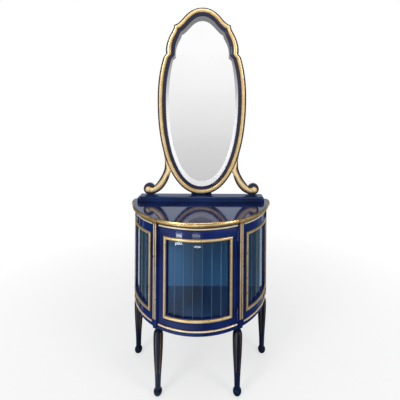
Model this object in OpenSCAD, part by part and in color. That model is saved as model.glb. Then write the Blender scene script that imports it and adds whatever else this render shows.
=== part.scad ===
// Half-round display cabinet with a glazed front door and glazed sides, on four turned
// legs, with a tall mirror standing on its top. Lengths are in millimetres, +Z is up, the
// front faces -Y, and the origin is under the middle of the object's own box, on the floor.
// The plan is worked in polar form about the middle of the back: an angle of 0 points
// straight to the front and a positive angle turns towards +X.

/* [Cabinet] */
// Height of the top surface above the floor
cabinet_h = 820; // [780:1:860]
// Radius of the curved faces of the door and the rails
body_r = 345; // [330:1:365]
// Thickness of the door, the rails and the stiles
frame_t = 22; // [20:0.5:26]
// Thickness of the half-round top
top_t = 22; // [19:0.5:25]
// Overhang of the gilt nosing past the curved faces
top_overhang = 19; // [14:0.5:24]
// Width of the gilt nosing seen from above
nosing_w = 6.5; // [5:0.5:8]
// Step of the top and its nosing over each post
break_out = 6; // [4:0.5:8]
// Radius of the rounded back corners of the top
corner_r = 24; // [16:1:28]
// Thickness of the cabinet floor
floor_t = 18; // [15:0.5:22]
// Thickness of the back panel
back_t = 8; // [6:0.5:12]
// Depth of the recess behind the back panel
back_recess = 8; // [6:0.5:12]

/* [Posts] */
// Angle from the front to the middle of a front post
post_angle = 33.8; // [32:0.1:36]
// Width of a front post on its curved face
post_w = 35; // [32:0.5:38]
// Width of the raised strip on a post
pilaster_w = 27; // [24:0.5:28]
// Projection of the raised strip
pilaster_t = 8; // [6:0.5:9]
// Depth of a post from its curved face inwards
post_d = 30; // [28:0.5:34]
// Width of a back post on its curved face
back_post_w = 49; // [44:0.5:54]
// Width of one gilt reed on a front post
reed_w = 8; // [6:0.2:9]
// Space between the two reeds of a post
reed_gap = 2.6; // [2:0.2:5]
// Height of the plain block under the reeds
post_block_h = 41; // [34:1:50]

/* [Legs] */
// Height of the underside of the body above the floor
leg_h = 320; // [290:1:345]
// Distance of the leg axes inwards from the curved faces
leg_inset = 19; // [16:0.5:22]
// Distance of the back leg axes from the wall face
back_leg_y = 30; // [27:0.5:33]
// Greatest radius of a leg, at its shoulder
leg_shoulder_r = 22.4; // [20:0.2:24]
// Radius of a leg at its ankle
leg_ankle_r = 13.2; // [12:0.2:14]
// Radius of the neck over the shoulder
leg_neck_r = 10.8; // [10:0.2:12]
// Radius of the ball foot
ball_r = 19.5; // [18:0.2:21]
// Radius of the flat under the ball foot
foot_flat_r = 8; // [6:0.5:10]
// Radius of the bell over the neck, under the body
leg_bell_r = 17; // [14:0.5:18]
// Number of gilt flutes round a leg
flute_n = 6; // [5:1:8]
// Width of a flute at its upper end
flute_top_w = 10; // [7:0.5:11]
// Width of a flute at its lower end
flute_foot_w = 4.6; // [3:0.2:6]
// Angle from the front of each leg to its nearest flute
flute_turn = -21; // [-30:1:30]
// Radius of the spigot on a leg
spigot_r = 8; // [6:0.5:9]
// Length of the spigot in its post
spigot_h = 30; // [20:1:36]

/* [Door and side panels] */
// Width of the base rail that carries the floor and the door gap
base_rail_h = 28; // [24:0.5:34]
// Width of the frieze rail under the top
frieze_h = 16; // [14:0.5:20]
// Gap at each upright edge of the door
door_gap = 2.2; // [2.1:0.1:3]
// Gap over and under the door
door_gap_z = 1.5; // [1.2:0.1:2.5]
// Width of a door stile
stile_w = 38.5; // [36:0.5:42]
// Width of a stile of a side panel
side_stile_w = 31; // [29:0.5:35]
// Width of the top rail of the door and side panels
panel_top_w = 51.5; // [46:0.5:56]
// Width of the bottom rail of the door and side panels
panel_bottom_w = 44; // [41:0.5:50]
// Width of the gilt moulding round the glass
mould_w = 14.5; // [13:0.5:17]
// Projection of the gilt moulding
mould_t = 6; // [4:0.2:7]
// Number of flat glass strips in the door
door_strips = 7; // [6:1:8]
// Number of flat glass strips in each side
side_strips = 5; // [4:1:6]
// Thickness of the glass strips
glass_t = 3; // [2.5:0.1:4]
// Width of the rabbet that the glass lies in
rabbet_w = 6; // [5:0.5:8]
// Thickness of the wood left in front of the glass
lip_t = 9; // [8:0.5:11]
// Height of the gilt bead under the top
frieze_bead_h = 8.6; // [7:0.2:10]
// Height of the gilt bead over the base
base_bead_h = 7; // [6:0.2:9]
// Projection of both gilt beads
bead_t = 5.6; // [4:0.2:7]

/* [Hinges and catch] */
// Height of a hinge
hinge_h = 50; // [40:1:60]
// Distance from a hinge to the end of the door
hinge_end = 11; // [8:0.5:30]
// Thickness of a hinge leaf
leaf_t = 0.9; // [0.7:0.05:0.95]
// Width of a hinge leaf
leaf_w = 19; // [14:0.5:20]
// Outer radius of the hinge knuckles
knuckle_r = 3.2; // [2.8:0.1:3.3]
// Radius of the hinge pin
pin_r = 1.5; // [1.2:0.1:1.8]
// Radial clearance round the hinge pin
pin_clear = 0.05; // [0.02:0.01:0.1]
// Radius of a hinge screw
screw_r = 1.3; // [1:0.1:1.5]
// Length of a hinge screw
screw_len = 13; // [10:0.5:15]
// Height of the ball catch above the floor
catch_z = 540; // [480:1:640]
// Radius of the barrel of the ball catch
catch_r = 4; // [3:0.2:4.6]

/* [Mirror] */
// Length of the rail that carries the mirror
plinth_w = 669; // [640:1:690]
// Depth of the rail that carries the mirror
plinth_d = 70; // [62:1:80]
// Height of the rail that carries the mirror
plinth_h = 27; // [22:0.5:30]
// Radius of the rounded upper edge of the rail
plinth_edge_r = 12; // [8:0.5:14]
// Width of the mirror over its frame
mirror_w = 480; // [440:1:520]
// Height of the mirror over its frame
mirror_h = 1012; // [940:1:1080]
// Distance of a volute's middle from the end of the rail under it
volute_end = 53.5; // [46:0.5:64]
// Radius of a volute
volute_r = 30.5; // [26:0.5:34]
// Radius of the gilt boss on a volute
boss_r = 14.5; // [11:0.5:17]
// Thickness of the navy mirror frame
mirror_frame_t = 16; // [14:0.5:20]
// Projection of the gilt band on the mirror frame
band_t = 6.5; // [4:0.5:8]
// Thickness of the mirror glass
mirror_glass_t = 5; // [4:0.5:6]
// Depth of the bevel on the mirror glass
bevel_t = 2.5; // [1.5:0.1:3]
// Distance of each strap from the middle
strap_x = 40; // [34:1:46]
// Width of the straps that hold the mirror
strap_w = 30; // [24:1:34]
// Length of a strap below the top surface
strap_below = 200; // [140:5:260]
// Length of a strap above the top surface
strap_above = 420; // [340:5:460]
// Radius of a strap screw
strap_screw_r = 2; // [1.5:0.1:2.5]

/* [Hidden] */
$fn = 96;

navy = [0.06, 0.09, 0.30];
blue_wood = [0.16, 0.27, 0.42];
gilt = [0.80, 0.64, 0.33];
brass = [0.72, 0.58, 0.30];
painted_metal = [0.10, 0.14, 0.34];
glass_blue = [0.45, 0.60, 0.75, 0.5];
silver = [0.85, 0.87, 0.88];
bare_wood = [0.45, 0.32, 0.20];

// Turns a length on a circle of radius r into degrees.
function deg(len, r = body_r) = len / r * 180 / PI;
// A point of a cubic curve with end points a, d and handles b, c.
function bez(a, b, c, d, t) =
    pow(1 - t, 3) * a + 3 * pow(1 - t, 2) * t * b + 3 * (1 - t) * t * t * c + pow(t, 3) * d;
// n points of that curve, without its first end.
function bez_run(a, b, c, d, n) = [for (i = [1:n]) bez(a, b, c, d, i / n)];

// Levels above the floor
top_under = cabinet_h - top_t;
frieze_bottom = top_under - frieze_h;
floor_top = leg_h + base_rail_h;
door_z1 = floor_top + door_gap_z;
door_z2 = frieze_bottom - door_gap_z;
sight_z1 = door_z1 + panel_bottom_w;
sight_z2 = door_z2 - panel_top_w;
block_top = leg_h + post_block_h;
plinth_top = cabinet_h + plinth_h;

// Radii of the plan
nose_r = body_r + top_overhang;
board_r = nose_r - nosing_w;
rail_in = body_r - frame_t;
post_in = body_r - post_d;
pilaster_r = body_r + pilaster_t;
glass_out = body_r - lip_t - 0.8;
glass_in = glass_out - glass_t;
bead_clear = 0.3;
mitre_gap = 0.1;
depth = nose_r;

// Angles of the plan
post_half = deg(post_w) / 2;
pilaster_half = deg(pilaster_w) / 2;
post_a1 = post_angle - post_half;
post_a2 = post_angle + post_half;
back_a1 = 90 - deg(back_post_w);
door_a = post_a1 - deg(door_gap);
sight_a = door_a - deg(stile_w);
side_a1 = post_a2;
side_a2 = back_a1;
side_sight_a1 = side_a1 + deg(side_stile_w);
side_sight_a2 = side_a2 - deg(side_stile_w);
rabbet_a = deg(rabbet_w);
back_break_a1 = 90 - deg(back_post_w + 4, body_r);

// Leg axes
leg_r = body_r - leg_inset;
front_leg = [leg_r * sin(post_angle), -leg_r * cos(post_angle)];
back_leg_x = sqrt(pow(leg_r + 6.6, 2) - pow(back_leg_y, 2));
back_leg = [back_leg_x, -back_leg_y];

// Hinge: the frame of reference has +X along the radius through the face of the right post.
hinge_x = body_r + knuckle_r + 0.4;
hinge_y = -door_gap / 2;
hinge_centres = [door_z1 + hinge_end + hinge_h / 2, door_z2 - hinge_end - hinge_h / 2];
knuckle_third = hinge_h / 3;
knuckle_gap = 0.3;

// Mirror planes, measured forwards from the wall face
strap_t = back_recess;
mirror_back = -back_recess;
mirror_face = mirror_back - mirror_frame_t;
board_t = 4;
mirror_board_front = mirror_back - board_t;
mirror_glass_front = mirror_board_front - mirror_glass_t;
glass_seat = 0.2;

// Puts the plan's middle of the back where it belongs in the object's own box.
module in_frame() {
    translate([0, depth / 2, 0]) children();
}
// Copies for the left side what is drawn for the right.
module to_left() {
    mirror([1, 0, 0]) children();
}
// Plan angles are rounded to a thousandth of a degree, so that neighbours share one plane.
function whole_a(a) = round(a * 1000) / 1000;
// Revolves a section round the plan's middle from the angle a1 to the angle a2.
module revolve(a1, a2) {
    rotate_extrude(angle = whole_a(a2) - whole_a(a1), start = 270 + whole_a(a1)) children();
}
// A block of a ring between two radii, two heights and two plan angles.
module sector(r1, r2, z1, z2, a1, a2) {
    revolve(a1, a2) translate([r1, z1]) square([r2 - r1, z2 - z1]);
}
// Turns local +X to the plan angle a, so that local +Y runs along the curve.
module at_angle(a) {
    rotate([0, 0, 270 + whole_a(a)]) children();
}

// A flat-backed round profile w wide and t proud, centred on its back. Up to half as proud
// as it is wide it is an arc of a circle, and past that a half circle on straight sides.
function half_round(w, t, n = 10) =
    t > w / 2
    ? concat([[0, -w / 2]], arc_run(w / 2, 90, t - w / 2, n), [[0, w / 2]])
    : let (r = (w * w / 4 + t * t) / (2 * t)) arc_run(r, asin(w / 2 / r), t - r, n);
function arc_run(r, e, x, n) =
    [for (i = [0:n]) let (a = -e + 2 * e * i / n) [x + r * cos(a), r * sin(a)]];
// The same profile swept round the body between two plan angles, with its middle at z.
module curved_bead(r, z, w, t, a1, a2) {
    revolve(a1, a2) translate([r, z]) polygon(half_round(w, t));
}

// A wedge that keeps or cuts a mitre: points are [along the curve, height].
module radial_prism(a, r1, r2, pts) {
    at_angle(a) translate([r1, 0, 0]) rotate([90, 0, 90]) linear_extrude(r2 - r1) polygon(pts);
}
// Four mitred lengths of half-round moulding round an opening, laid on the curved face.
module panel_moulding(a1, a2, z1, z2) {
    w = mould_w;
    r = body_r;
    half_a = deg(w) / 2;
    far = r + mould_t + 2;
    m = mitre_gap;
    side_x = w / 2 + 1;
    for (side = [0, 1]) {
        ac = side == 0 ? a1 + half_a : a2 - half_a;
        dir = side == 0 ? 1 : -1;
        intersection() {
            at_angle(ac) translate([r, 0, z1]) linear_extrude(z2 - z1)
                polygon(half_round(w, mould_t));
            radial_prism(ac, r - 2, far, [[-dir * side_x, z1 + m - 1], [dir * side_x, z1 + w + m + 1],
                [dir * side_x, z2 - w - m - 1], [-dir * side_x, z2 - m + 1]]);
        }
    }
    for (up = [0, 1]) {
        zc = up == 0 ? z1 + w / 2 : z2 - w / 2;
        zo = up == 0 ? z1 : z2;
        zi = up == 0 ? z1 + w : z2 - w;
        past = up == 0 ? 4 : -4;
        difference() {
            curved_bead(r, zc, w, mould_t, a1 - deg(1), a2 + deg(1));
            for (side = [0, 1]) {
                ac = side == 0 ? a1 + half_a : a2 - half_a;
                dir = side == 0 ? 1 : -1;
                radial_prism(ac, r - 2, far, [[-dir * (w / 2 + 4), zo - past],
                    [dir * (w / 2 + 4), zi + past], [-dir * (w / 2 + 4), zi + past]]);
            }
        }
    }
}

// Flat strips of glass set edge to edge round the curve.
module glass_strips(a1, a2, n) {
    step = (a2 - a1) / n;
    strip_w = 2 * glass_in * tan(step / 2) - 0.1;
    z1 = sight_z1 - rabbet_w + bead_clear;
    z2 = sight_z2 + rabbet_w - bead_clear;
    for (i = [0:n - 1])
        at_angle(a1 + step * (i + 0.5))
            translate([glass_in, -strip_w / 2, z1]) cube([glass_t, strip_w, z2 - z1]);
}
// Beads that hold the glass from inside: two curved lengths and two uprights.
module glazing_beads(a1, a2) {
    r1 = rail_in + 2;
    r2 = glass_in - bead_clear;
    z1 = sight_z1 - rabbet_w;
    z2 = sight_z2 + rabbet_w;
    sector(r1, r2, z1, sight_z1, a1, a2);
    sector(r1, r2, sight_z2, z2, a1, a2);
    sector(r1, r2, sight_z1, sight_z2, a1, a1 + rabbet_a);
    sector(r1, r2, sight_z1, sight_z2, a2 - rabbet_a, a2);
}
// The room that glass and beads take in a frame round an opening.
module rabbet(a1, a2) {
    sector(rail_in - 2, body_r - lip_t, sight_z1 - rabbet_w, sight_z2 + rabbet_w,
        a1 - rabbet_a, a2 + rabbet_a);
}

// The top: a half disc that steps out over the posts, with rounded back corners.
// The corner's circle runs out of the edge and the back at a slight angle.
corner_y = -(corner_r - 0.3);
corner_x = sqrt(pow(board_r + break_out - corner_r + 0.3, 2) - pow(corner_y, 2));
corner_a = 90 + atan(corner_y / corner_x);
module at_corners() {
    for (s = [0, 1]) mirror([s, 0, 0]) translate([corner_x, corner_y, 0]) children();
}
module corner_cuts(z1, z2) {
    at_corners() difference() {
        translate([0, 0, z1 - 1]) cube([60, 60, z2 - z1 + 2]);
        translate([0, 0, z1 - 2]) cylinder(r = corner_r, h = z2 - z1 + 4);
    }
}
break_half = pilaster_half + deg(5);
module stepped_plan(r, z1, z2, step) {
    sector(1, r, z1, z2, -90, 90);
    for (s = [-1, 1])
        sector(r - 30, r + step, z1, z2, s * post_angle - break_half, s * post_angle + break_half);
    sector(r - 30, r + step, z1, z2, -90, -back_break_a1);
    sector(r - 30, r + step, z1, z2, back_break_a1, 90);
}
module strap_notches(z1, z2, grow) {
    for (s = [-1, 1])
        translate([s * strap_x - strap_w / 2 - grow, -strap_t - grow, z1])
            cube([strap_w + 2 * grow, strap_t + grow + 1, z2 - z1]);
}
module top_board() {
    color(navy) in_frame() difference() {
        stepped_plan(board_r, top_under, cabinet_h, break_out);
        corner_cuts(top_under, cabinet_h);
        strap_notches(top_under - 1, cabinet_h + 1, 0.2);
    }
}

// The gilt nosing: half-round lengths along the edge, stepping out over each post. Each length
// ends a hair short of its neighbour.
nosing_h = top_t - 1;
nosing_z = cabinet_h - nosing_h / 2 - 0.5;
joint_a = deg(mitre_gap / 2, board_r);
module nosing(a1, a2, out) {
    curved_bead(board_r + out, nosing_z, nosing_h, nosing_w, a1 + joint_a, a2 - joint_a);
}
module top_edge_moulding() {
    gap_a = post_angle - break_half;
    far_a = post_angle + break_half;
    color(gilt) in_frame() {
        nosing(-gap_a, gap_a, 0);
        for (s = [0, 1]) mirror([s, 0, 0]) {
            nosing(gap_a, far_a, break_out);
            nosing(far_a, back_break_a1, 0);
            nosing(back_break_a1, corner_a, break_out);
        }
        at_corners() intersection() {
            rotate_extrude(angle = 180 - corner_a, start = corner_a - 90)
                translate([corner_r, nosing_z]) polygon(half_round(nosing_h, nosing_w));
            translate([-60, -60, 0]) cube([120, 60 - corner_y, cabinet_h]);
        }
    }
}

// Rails round the body, in three lengths each, between the posts.
module three_lengths() {
    for (span = [[-post_a1, post_a1], [side_a1, side_a2], [-side_a2, -side_a1]]) {
        $a1 = span[0];
        $a2 = span[1];
        children();
    }
}
module frieze_rail() {
    color(navy) in_frame() three_lengths()
        sector(rail_in - 5, body_r, frieze_bottom, top_under, $a1, $a2);
}
module base_rail() {
    color(navy) in_frame() three_lengths()
        sector(rail_in - 5, body_r, leg_h, floor_top, $a1, $a2);
}
frieze_bead_z = frieze_bottom + 1 + frieze_bead_h / 2;
base_bead_z = floor_top - 2 - base_bead_h / 2;
bead_end = 0.3;
module frieze_bead() {
    color(gilt) in_frame() three_lengths()
        curved_bead(body_r, frieze_bead_z, frieze_bead_h, bead_t, $a1 + bead_end, $a2 - bead_end);
}
module base_bead() {
    color(gilt) in_frame() three_lengths()
        curved_bead(body_r, base_bead_z, base_bead_h, bead_t, $a1 + bead_end, $a2 - bead_end);
}

// The floor lies inside the base rail and against the posts and the back panel.
module floor_board() {
    color(blue_wood) in_frame() difference() {
        sector(1, rail_in - 5, floor_top - floor_t, floor_top, -90, 90);
        translate([-body_r, -back_recess - back_t, 0]) cube([2 * body_r, body_r, cabinet_h]);
        for (s = [-1, 1])
            sector(post_in, body_r, leg_h, cabinet_h,
                s * post_angle - post_half, s * post_angle + post_half);
        sector(post_in, body_r, leg_h, cabinet_h, back_a1, 95);
        sector(post_in, body_r, leg_h, cabinet_h, -95, -back_a1);
    }
}
panel_half = sqrt(pow(post_in, 2) - pow(back_recess + back_t, 2)) - 0.3;
module strap_screw_rows() {
    for (s = [-1, 1], z = [cabinet_h - strap_below + 25, cabinet_h - 60])
        translate([s * strap_x, 0, z]) rotate([90, 0, 0]) children();
}
module mirror_screw_rows() {
    for (s = [-1, 1], z = [cabinet_h + strap_above - 25, cabinet_h + strap_above - 90])
        translate([s * strap_x, 0, z]) rotate([90, 0, 0]) children();
}
module back_panel() {
    color(blue_wood) in_frame() difference() {
        translate([-panel_half, -back_recess - back_t, leg_h])
            cube([2 * panel_half, back_t, top_under - leg_h]);
        strap_screw_rows() cylinder(r = strap_screw_r, h = back_recess + back_t + 1);
    }
}

// A front post: the square part, the raised strip and the canted block under the reeds.
module front_post() {
    cant = 6;
    difference() {
        union() {
            sector(post_in, body_r, leg_h, top_under, post_a1, post_a2);
            sector(body_r - 1, pilaster_r, leg_h, top_under,
                post_angle - pilaster_half, post_angle + pilaster_half);
        }
        translate([front_leg[0], front_leg[1], leg_h - 1])
            cylinder(r = spigot_r, h = spigot_h + 1);
        // the foot of the block is canted on its front and both sides
        for (s = [-1, 1])
            radial_prism(post_angle, body_r - 0.01, pilaster_r + 2,
                [[s * (pilaster_w / 2 + 3), leg_h - 1], [s * (pilaster_w / 2 + 3), leg_h + 30],
                [s * (pilaster_w / 2), leg_h + 30], [s * (pilaster_w / 2 - cant), leg_h - 1]]);
        if ($strike) strike_screws() cylinder(r = screw_r * 0.8, h = screw_len);
        if ($hinged) post_screw_rows() cylinder(r = screw_r, h = screw_len);
    }
}
module front_post_left() {
    color(navy) in_frame() to_left() front_post($strike = true, $hinged = false);
}
module front_post_right() {
    color(navy) in_frame() front_post($strike = false, $hinged = true);
}
module back_post() {
    difference() {
        union() {
            sector(post_in, body_r, leg_h, top_under, back_a1, 90);
            sector(body_r - 1, pilaster_r, leg_h, top_under, back_a1 + deg(4), 90);
        }
        translate([back_leg[0], back_leg[1], leg_h - 1])
            cylinder(r = spigot_r, h = spigot_h + 1);
    }
}
module back_post_left() {
    color(navy) in_frame() to_left() back_post();
}
module back_post_right() {
    color(navy) in_frame() back_post();
}
// Two gilt reeds on the raised strip of each front post.
module post_reeds() {
    reed_t = reed_w * 0.42;
    step = (reed_w + reed_gap) / 2;
    color(gilt) in_frame() for (s = [-1, 1], k = [-1, 1])
        at_angle(s * post_angle + k * deg(step, pilaster_r))
            translate([pilaster_r, 0, block_top]) linear_extrude(top_under - block_top)
                polygon(half_round(reed_w, reed_t));
}

// A turned leg: ball foot, slender ankle, swelling shoulder, neck and spigot.
ball_z = sqrt(pow(ball_r, 2) - pow(foot_flat_r, 2));
leg_taper_z1 = 46;
shoulder_z = leg_h - 56;
neck_z = leg_h - 21;
function leg_profile() = let (
    a0 = asin(-ball_z / ball_r),
    a1 = acos((leg_ankle_r - 0.4) / ball_r))
    concat(
        [[0, 0]],
        [for (i = [0:14]) let (a = a0 + (a1 - a0) * i / 14) [ball_r * cos(a), ball_z + ball_r * sin(a)]],
        [[leg_ankle_r - 0.6, ball_z + ball_r * sin(a1) + 4]],
        [[leg_ankle_r, leg_taper_z1]],
        bez_run([leg_ankle_r, leg_taper_z1], [leg_ankle_r + 0.2, 106],
            [leg_shoulder_r, 186], [leg_shoulder_r, shoulder_z], 10),
        bez_run([leg_shoulder_r, shoulder_z], [leg_shoulder_r, shoulder_z + 21],
            [leg_neck_r + 9, neck_z - 3], [leg_neck_r + 1, neck_z - 2], 8),
        [[leg_neck_r, neck_z]],
        bez_run([leg_neck_r, neck_z], [leg_neck_r, neck_z + 8],
            [leg_bell_r, leg_h - 9], [leg_bell_r, leg_h], 6),
        [[spigot_r - 0.15, leg_h]],
        [[spigot_r - 0.15, leg_h + spigot_h - 2]],
        [[0, leg_h + spigot_h - 2]]);
// Each flute is cut by a long cone that leans with the leg and runs out at both ends.
flute_z1 = leg_taper_z1 + 2;
flute_z2 = neck_z - 8;
function flute_cut_r(w) = 0.7 * w;
function flute_axis(r, w) = r + flute_cut_r(w) - 0.21 * w;
module leg() {
    lo_x = flute_axis(leg_ankle_r + 0.4, flute_foot_w);
    hi_x = flute_axis(leg_shoulder_r + 0.6, flute_top_w);
    lean = atan((hi_x - lo_x) / (flute_z2 - flute_z1));
    len = norm([hi_x - lo_x, flute_z2 - flute_z1]);
    difference() {
        rotate_extrude() polygon(leg_profile());
        for (i = [0:flute_n - 1])
            rotate([0, 0, 270 + flute_turn + i * 360 / flute_n]) translate([lo_x, 0, flute_z1])
                rotate([0, lean, 0])
                    cylinder(r1 = flute_cut_r(flute_foot_w), r2 = flute_cut_r(flute_top_w), h = len);
    }
}
module leg_at(p) {
    color(navy) in_frame() translate([p[0], p[1], 0]) leg();
}
module leg_front_left() {
    leg_at([-front_leg[0], front_leg[1]]);
}
module leg_front_right() {
    leg_at(front_leg);
}
module leg_back_left() {
    leg_at([-back_leg[0], back_leg[1]]);
}
module leg_back_right() {
    leg_at(back_leg);
}

// The frames of the side panels.
module side_top_rail() {
    difference() {
        sector(rail_in, body_r, sight_z2, frieze_bottom, side_sight_a1, side_sight_a2);
        rabbet(side_sight_a1, side_sight_a2);
    }
}
module side_bottom_rail() {
    difference() {
        sector(rail_in, body_r, floor_top, sight_z1, side_sight_a1, side_sight_a2);
        rabbet(side_sight_a1, side_sight_a2);
    }
}
module side_stiles() {
    difference() {
        union() {
            sector(rail_in, body_r, floor_top, frieze_bottom, side_a1, side_sight_a1);
            sector(rail_in, body_r, floor_top, frieze_bottom, side_sight_a2, side_a2);
        }
        rabbet(side_sight_a1, side_sight_a2);
    }
}
module side_top_rail_left() {
    color(navy) in_frame() to_left() side_top_rail();
}
module side_top_rail_right() {
    color(navy) in_frame() side_top_rail();
}
module side_bottom_rail_left() {
    color(navy) in_frame() to_left() side_bottom_rail();
}
module side_bottom_rail_right() {
    color(navy) in_frame() side_bottom_rail();
}
module side_stiles_left() {
    color(navy) in_frame() to_left() side_stiles();
}
module side_stiles_right() {
    color(navy) in_frame() side_stiles();
}
module side_moulding() {
    panel_moulding(side_sight_a1 - deg(mould_w), side_sight_a2 + deg(mould_w),
        sight_z1 - mould_w, sight_z2 + mould_w);
}
module side_gilt_moulding_left() {
    color(gilt) in_frame() to_left() side_moulding();
}
module side_gilt_moulding_right() {
    color(gilt) in_frame() side_moulding();
}
glass_edge_a = rabbet_a - deg(bead_clear);
module side_glass() {
    glass_strips(side_sight_a1 - glass_edge_a, side_sight_a2 + glass_edge_a, side_strips);
}
module side_glass_left() {
    color(glass_blue) in_frame() to_left() side_glass();
}
module side_glass_right() {
    color(glass_blue) in_frame() side_glass();
}
module side_beads() {
    glazing_beads(side_sight_a1 - rabbet_a, side_sight_a2 + rabbet_a);
}
module side_glazing_beads_left() {
    color(navy) in_frame() to_left() side_beads();
}
module side_glazing_beads_right() {
    color(navy) in_frame() side_beads();
}

// The door: two stiles and two rails of the same curve as the body.
module door_stile_blank() {
    difference() {
        sector(rail_in, body_r, door_z1, door_z2, sight_a, door_a);
        rabbet(-sight_a, sight_a);
    }
}
module door_stile_left() {
    color(navy) in_frame() difference() {
        to_left() door_stile_blank();
        in_catch() {
            rotate([90, 0, 0]) cylinder(r = catch_r, h = catch_len);
            catch_plate();
        }
    }
}
module door_stile_right() {
    color(navy) in_frame() difference() {
        door_stile_blank();
        door_screw_rows() cylinder(r = screw_r, h = screw_len);
    }
}
module door_top_rail() {
    color(navy) in_frame() difference() {
        sector(rail_in, body_r, sight_z2, door_z2, -sight_a, sight_a);
        rabbet(-sight_a, sight_a);
    }
}
module door_bottom_rail() {
    color(navy) in_frame() difference() {
        sector(rail_in, body_r, door_z1, sight_z1, -sight_a, sight_a);
        rabbet(-sight_a, sight_a);
    }
}
module door_gilt_moulding() {
    color(gilt) in_frame() panel_moulding(-sight_a - deg(mould_w), sight_a + deg(mould_w),
        sight_z1 - mould_w, sight_z2 + mould_w);
}
module door_glass() {
    color(glass_blue) in_frame()
        glass_strips(-sight_a - glass_edge_a, sight_a + glass_edge_a, door_strips);
}
module door_glazing_beads() {
    color(navy) in_frame() glazing_beads(-sight_a - rabbet_a, sight_a + rabbet_a);
}

// Butt hinges in the right gap: leaves flat on the post and on the door, barrel proud.
leaf_x2 = body_r + 0.1;
leaf_x1 = leaf_x2 - leaf_w;
screw_x = leaf_x1 + leaf_w * 0.42;
screw_zs = [-hinge_h * 0.34, 0, hinge_h * 0.34];
module at_hinges() {
    for (z = hinge_centres) at_angle(post_a1) translate([0, 0, z]) children();
}
// Frame of the door's own edge, which lies one gap away from the post.
module at_door_edge() {
    for (z = hinge_centres) at_angle(door_a) translate([0, 0, z]) children();
}
module post_screw_rows() {
    at_hinges() for (z = screw_zs) translate([screw_x, -leaf_t - 0.1, z])
        rotate([-90, 0, 0]) children();
}
module door_screw_rows() {
    at_door_edge() for (z = screw_zs) translate([screw_x, leaf_t + 0.1, z])
        rotate([90, 0, 0]) children();
}
module knuckle(z1, z2) {
    translate([hinge_x, hinge_y, z1]) cylinder(r = knuckle_r, h = z2 - z1);
}
module pin_bore() {
    translate([hinge_x, hinge_y, -hinge_h]) cylinder(r = pin_r + pin_clear, h = 2 * hinge_h);
}
outer_z = knuckle_third / 2 + knuckle_gap;
module hinge_leaves_post() {
    color(painted_metal) in_frame() difference() {
        at_hinges() difference() {
            union() {
                translate([leaf_x1, -leaf_t, -hinge_h / 2]) cube([leaf_w, leaf_t, hinge_h]);
                for (s = [0, 1]) mirror([0, 0, s]) {
                    knuckle(outer_z, hinge_h / 2);
                    translate([leaf_x2 - 1, -leaf_t, outer_z])
                        cube([knuckle_r - 0.6, leaf_t, hinge_h / 2 - outer_z]);
                }
            }
            pin_bore();
        }
        post_screw_rows() cylinder(r = screw_r, h = screw_len);
    }
}
module hinge_leaves_door() {
    mid = knuckle_third / 2;
    color(painted_metal) in_frame() difference() {
        union() {
            at_door_edge() translate([leaf_x1, 0, -hinge_h / 2]) cube([leaf_w, leaf_t, hinge_h]);
            at_hinges() difference() {
                union() {
                    knuckle(-mid, mid);
                    translate([leaf_x2 - 1, -door_gap, -mid]) cube([knuckle_r - 0.6, leaf_t, 2 * mid]);
                }
                pin_bore();
            }
        }
        door_screw_rows() cylinder(r = screw_r, h = screw_len);
    }
}
module hinge_pins() {
    tip_r = pin_r + 0.9;
    color(painted_metal) in_frame() at_hinges() translate([hinge_x, hinge_y, 0]) {
        translate([0, 0, -hinge_h / 2]) cylinder(r = pin_r, h = hinge_h);
        for (s = [0, 1]) mirror([0, 0, s]) {
            translate([0, 0, hinge_h / 2]) cylinder(r = tip_r, h = 1);
            translate([0, 0, hinge_h / 2 + 2.4]) sphere(r = tip_r);
        }
    }
}
module leaf_screw() {
    cylinder(r = screw_r - 0.02, h = screw_len - 0.5);
}
module hinge_screws_post() {
    color(brass) in_frame() post_screw_rows() leaf_screw();
}
module hinge_screws_door() {
    color(brass) in_frame() door_screw_rows() leaf_screw();
}

// Ball catch in the left edge of the door, and its plate on the left post.
catch_len = 16;
catch_plate_t = 0.8;
catch_x = body_r - frame_t / 2;
plate_w = 11;
plate_h = 26;
ball_out = 0.4;
module in_catch() {
    at_angle(-door_a) translate([catch_x, 0, catch_z]) mirror([0, 1, 0]) children();
}
module catch_plate() {
    translate([-plate_w / 2, -catch_plate_t, -plate_h / 2]) cube([plate_w, catch_plate_t, plate_h]);
}
module ball_catch() {
    color(brass) in_frame() in_catch() union() {
        catch_plate();
        rotate([90, 0, 0]) cylinder(r = catch_r, h = catch_len);
        translate([0, ball_out - 2.6, 0]) sphere(r = 2.6);
    }
}
module strike_screws() {
    at_angle(post_a1) for (s = [-1, 1])
        translate([catch_x, -0.1 - catch_plate_t, catch_z + s * plate_h * 0.36])
            rotate([-90, 0, 0]) children();
}
module catch_strike() {
    color(brass) in_frame() to_left() union() {
        difference() {
            at_angle(post_a1) translate([catch_x - plate_w / 2, -catch_plate_t, catch_z - plate_h / 2])
                cube([plate_w, catch_plate_t, plate_h]);
            at_angle(post_a1) translate([catch_x, -2, catch_z])
                rotate([-90, 0, 0]) cylinder(r = 2.2, h = 4);
        }
        strike_screws() cylinder(r = screw_r * 0.8 - 0.02, h = screw_len - 1);
    }
}

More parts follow.
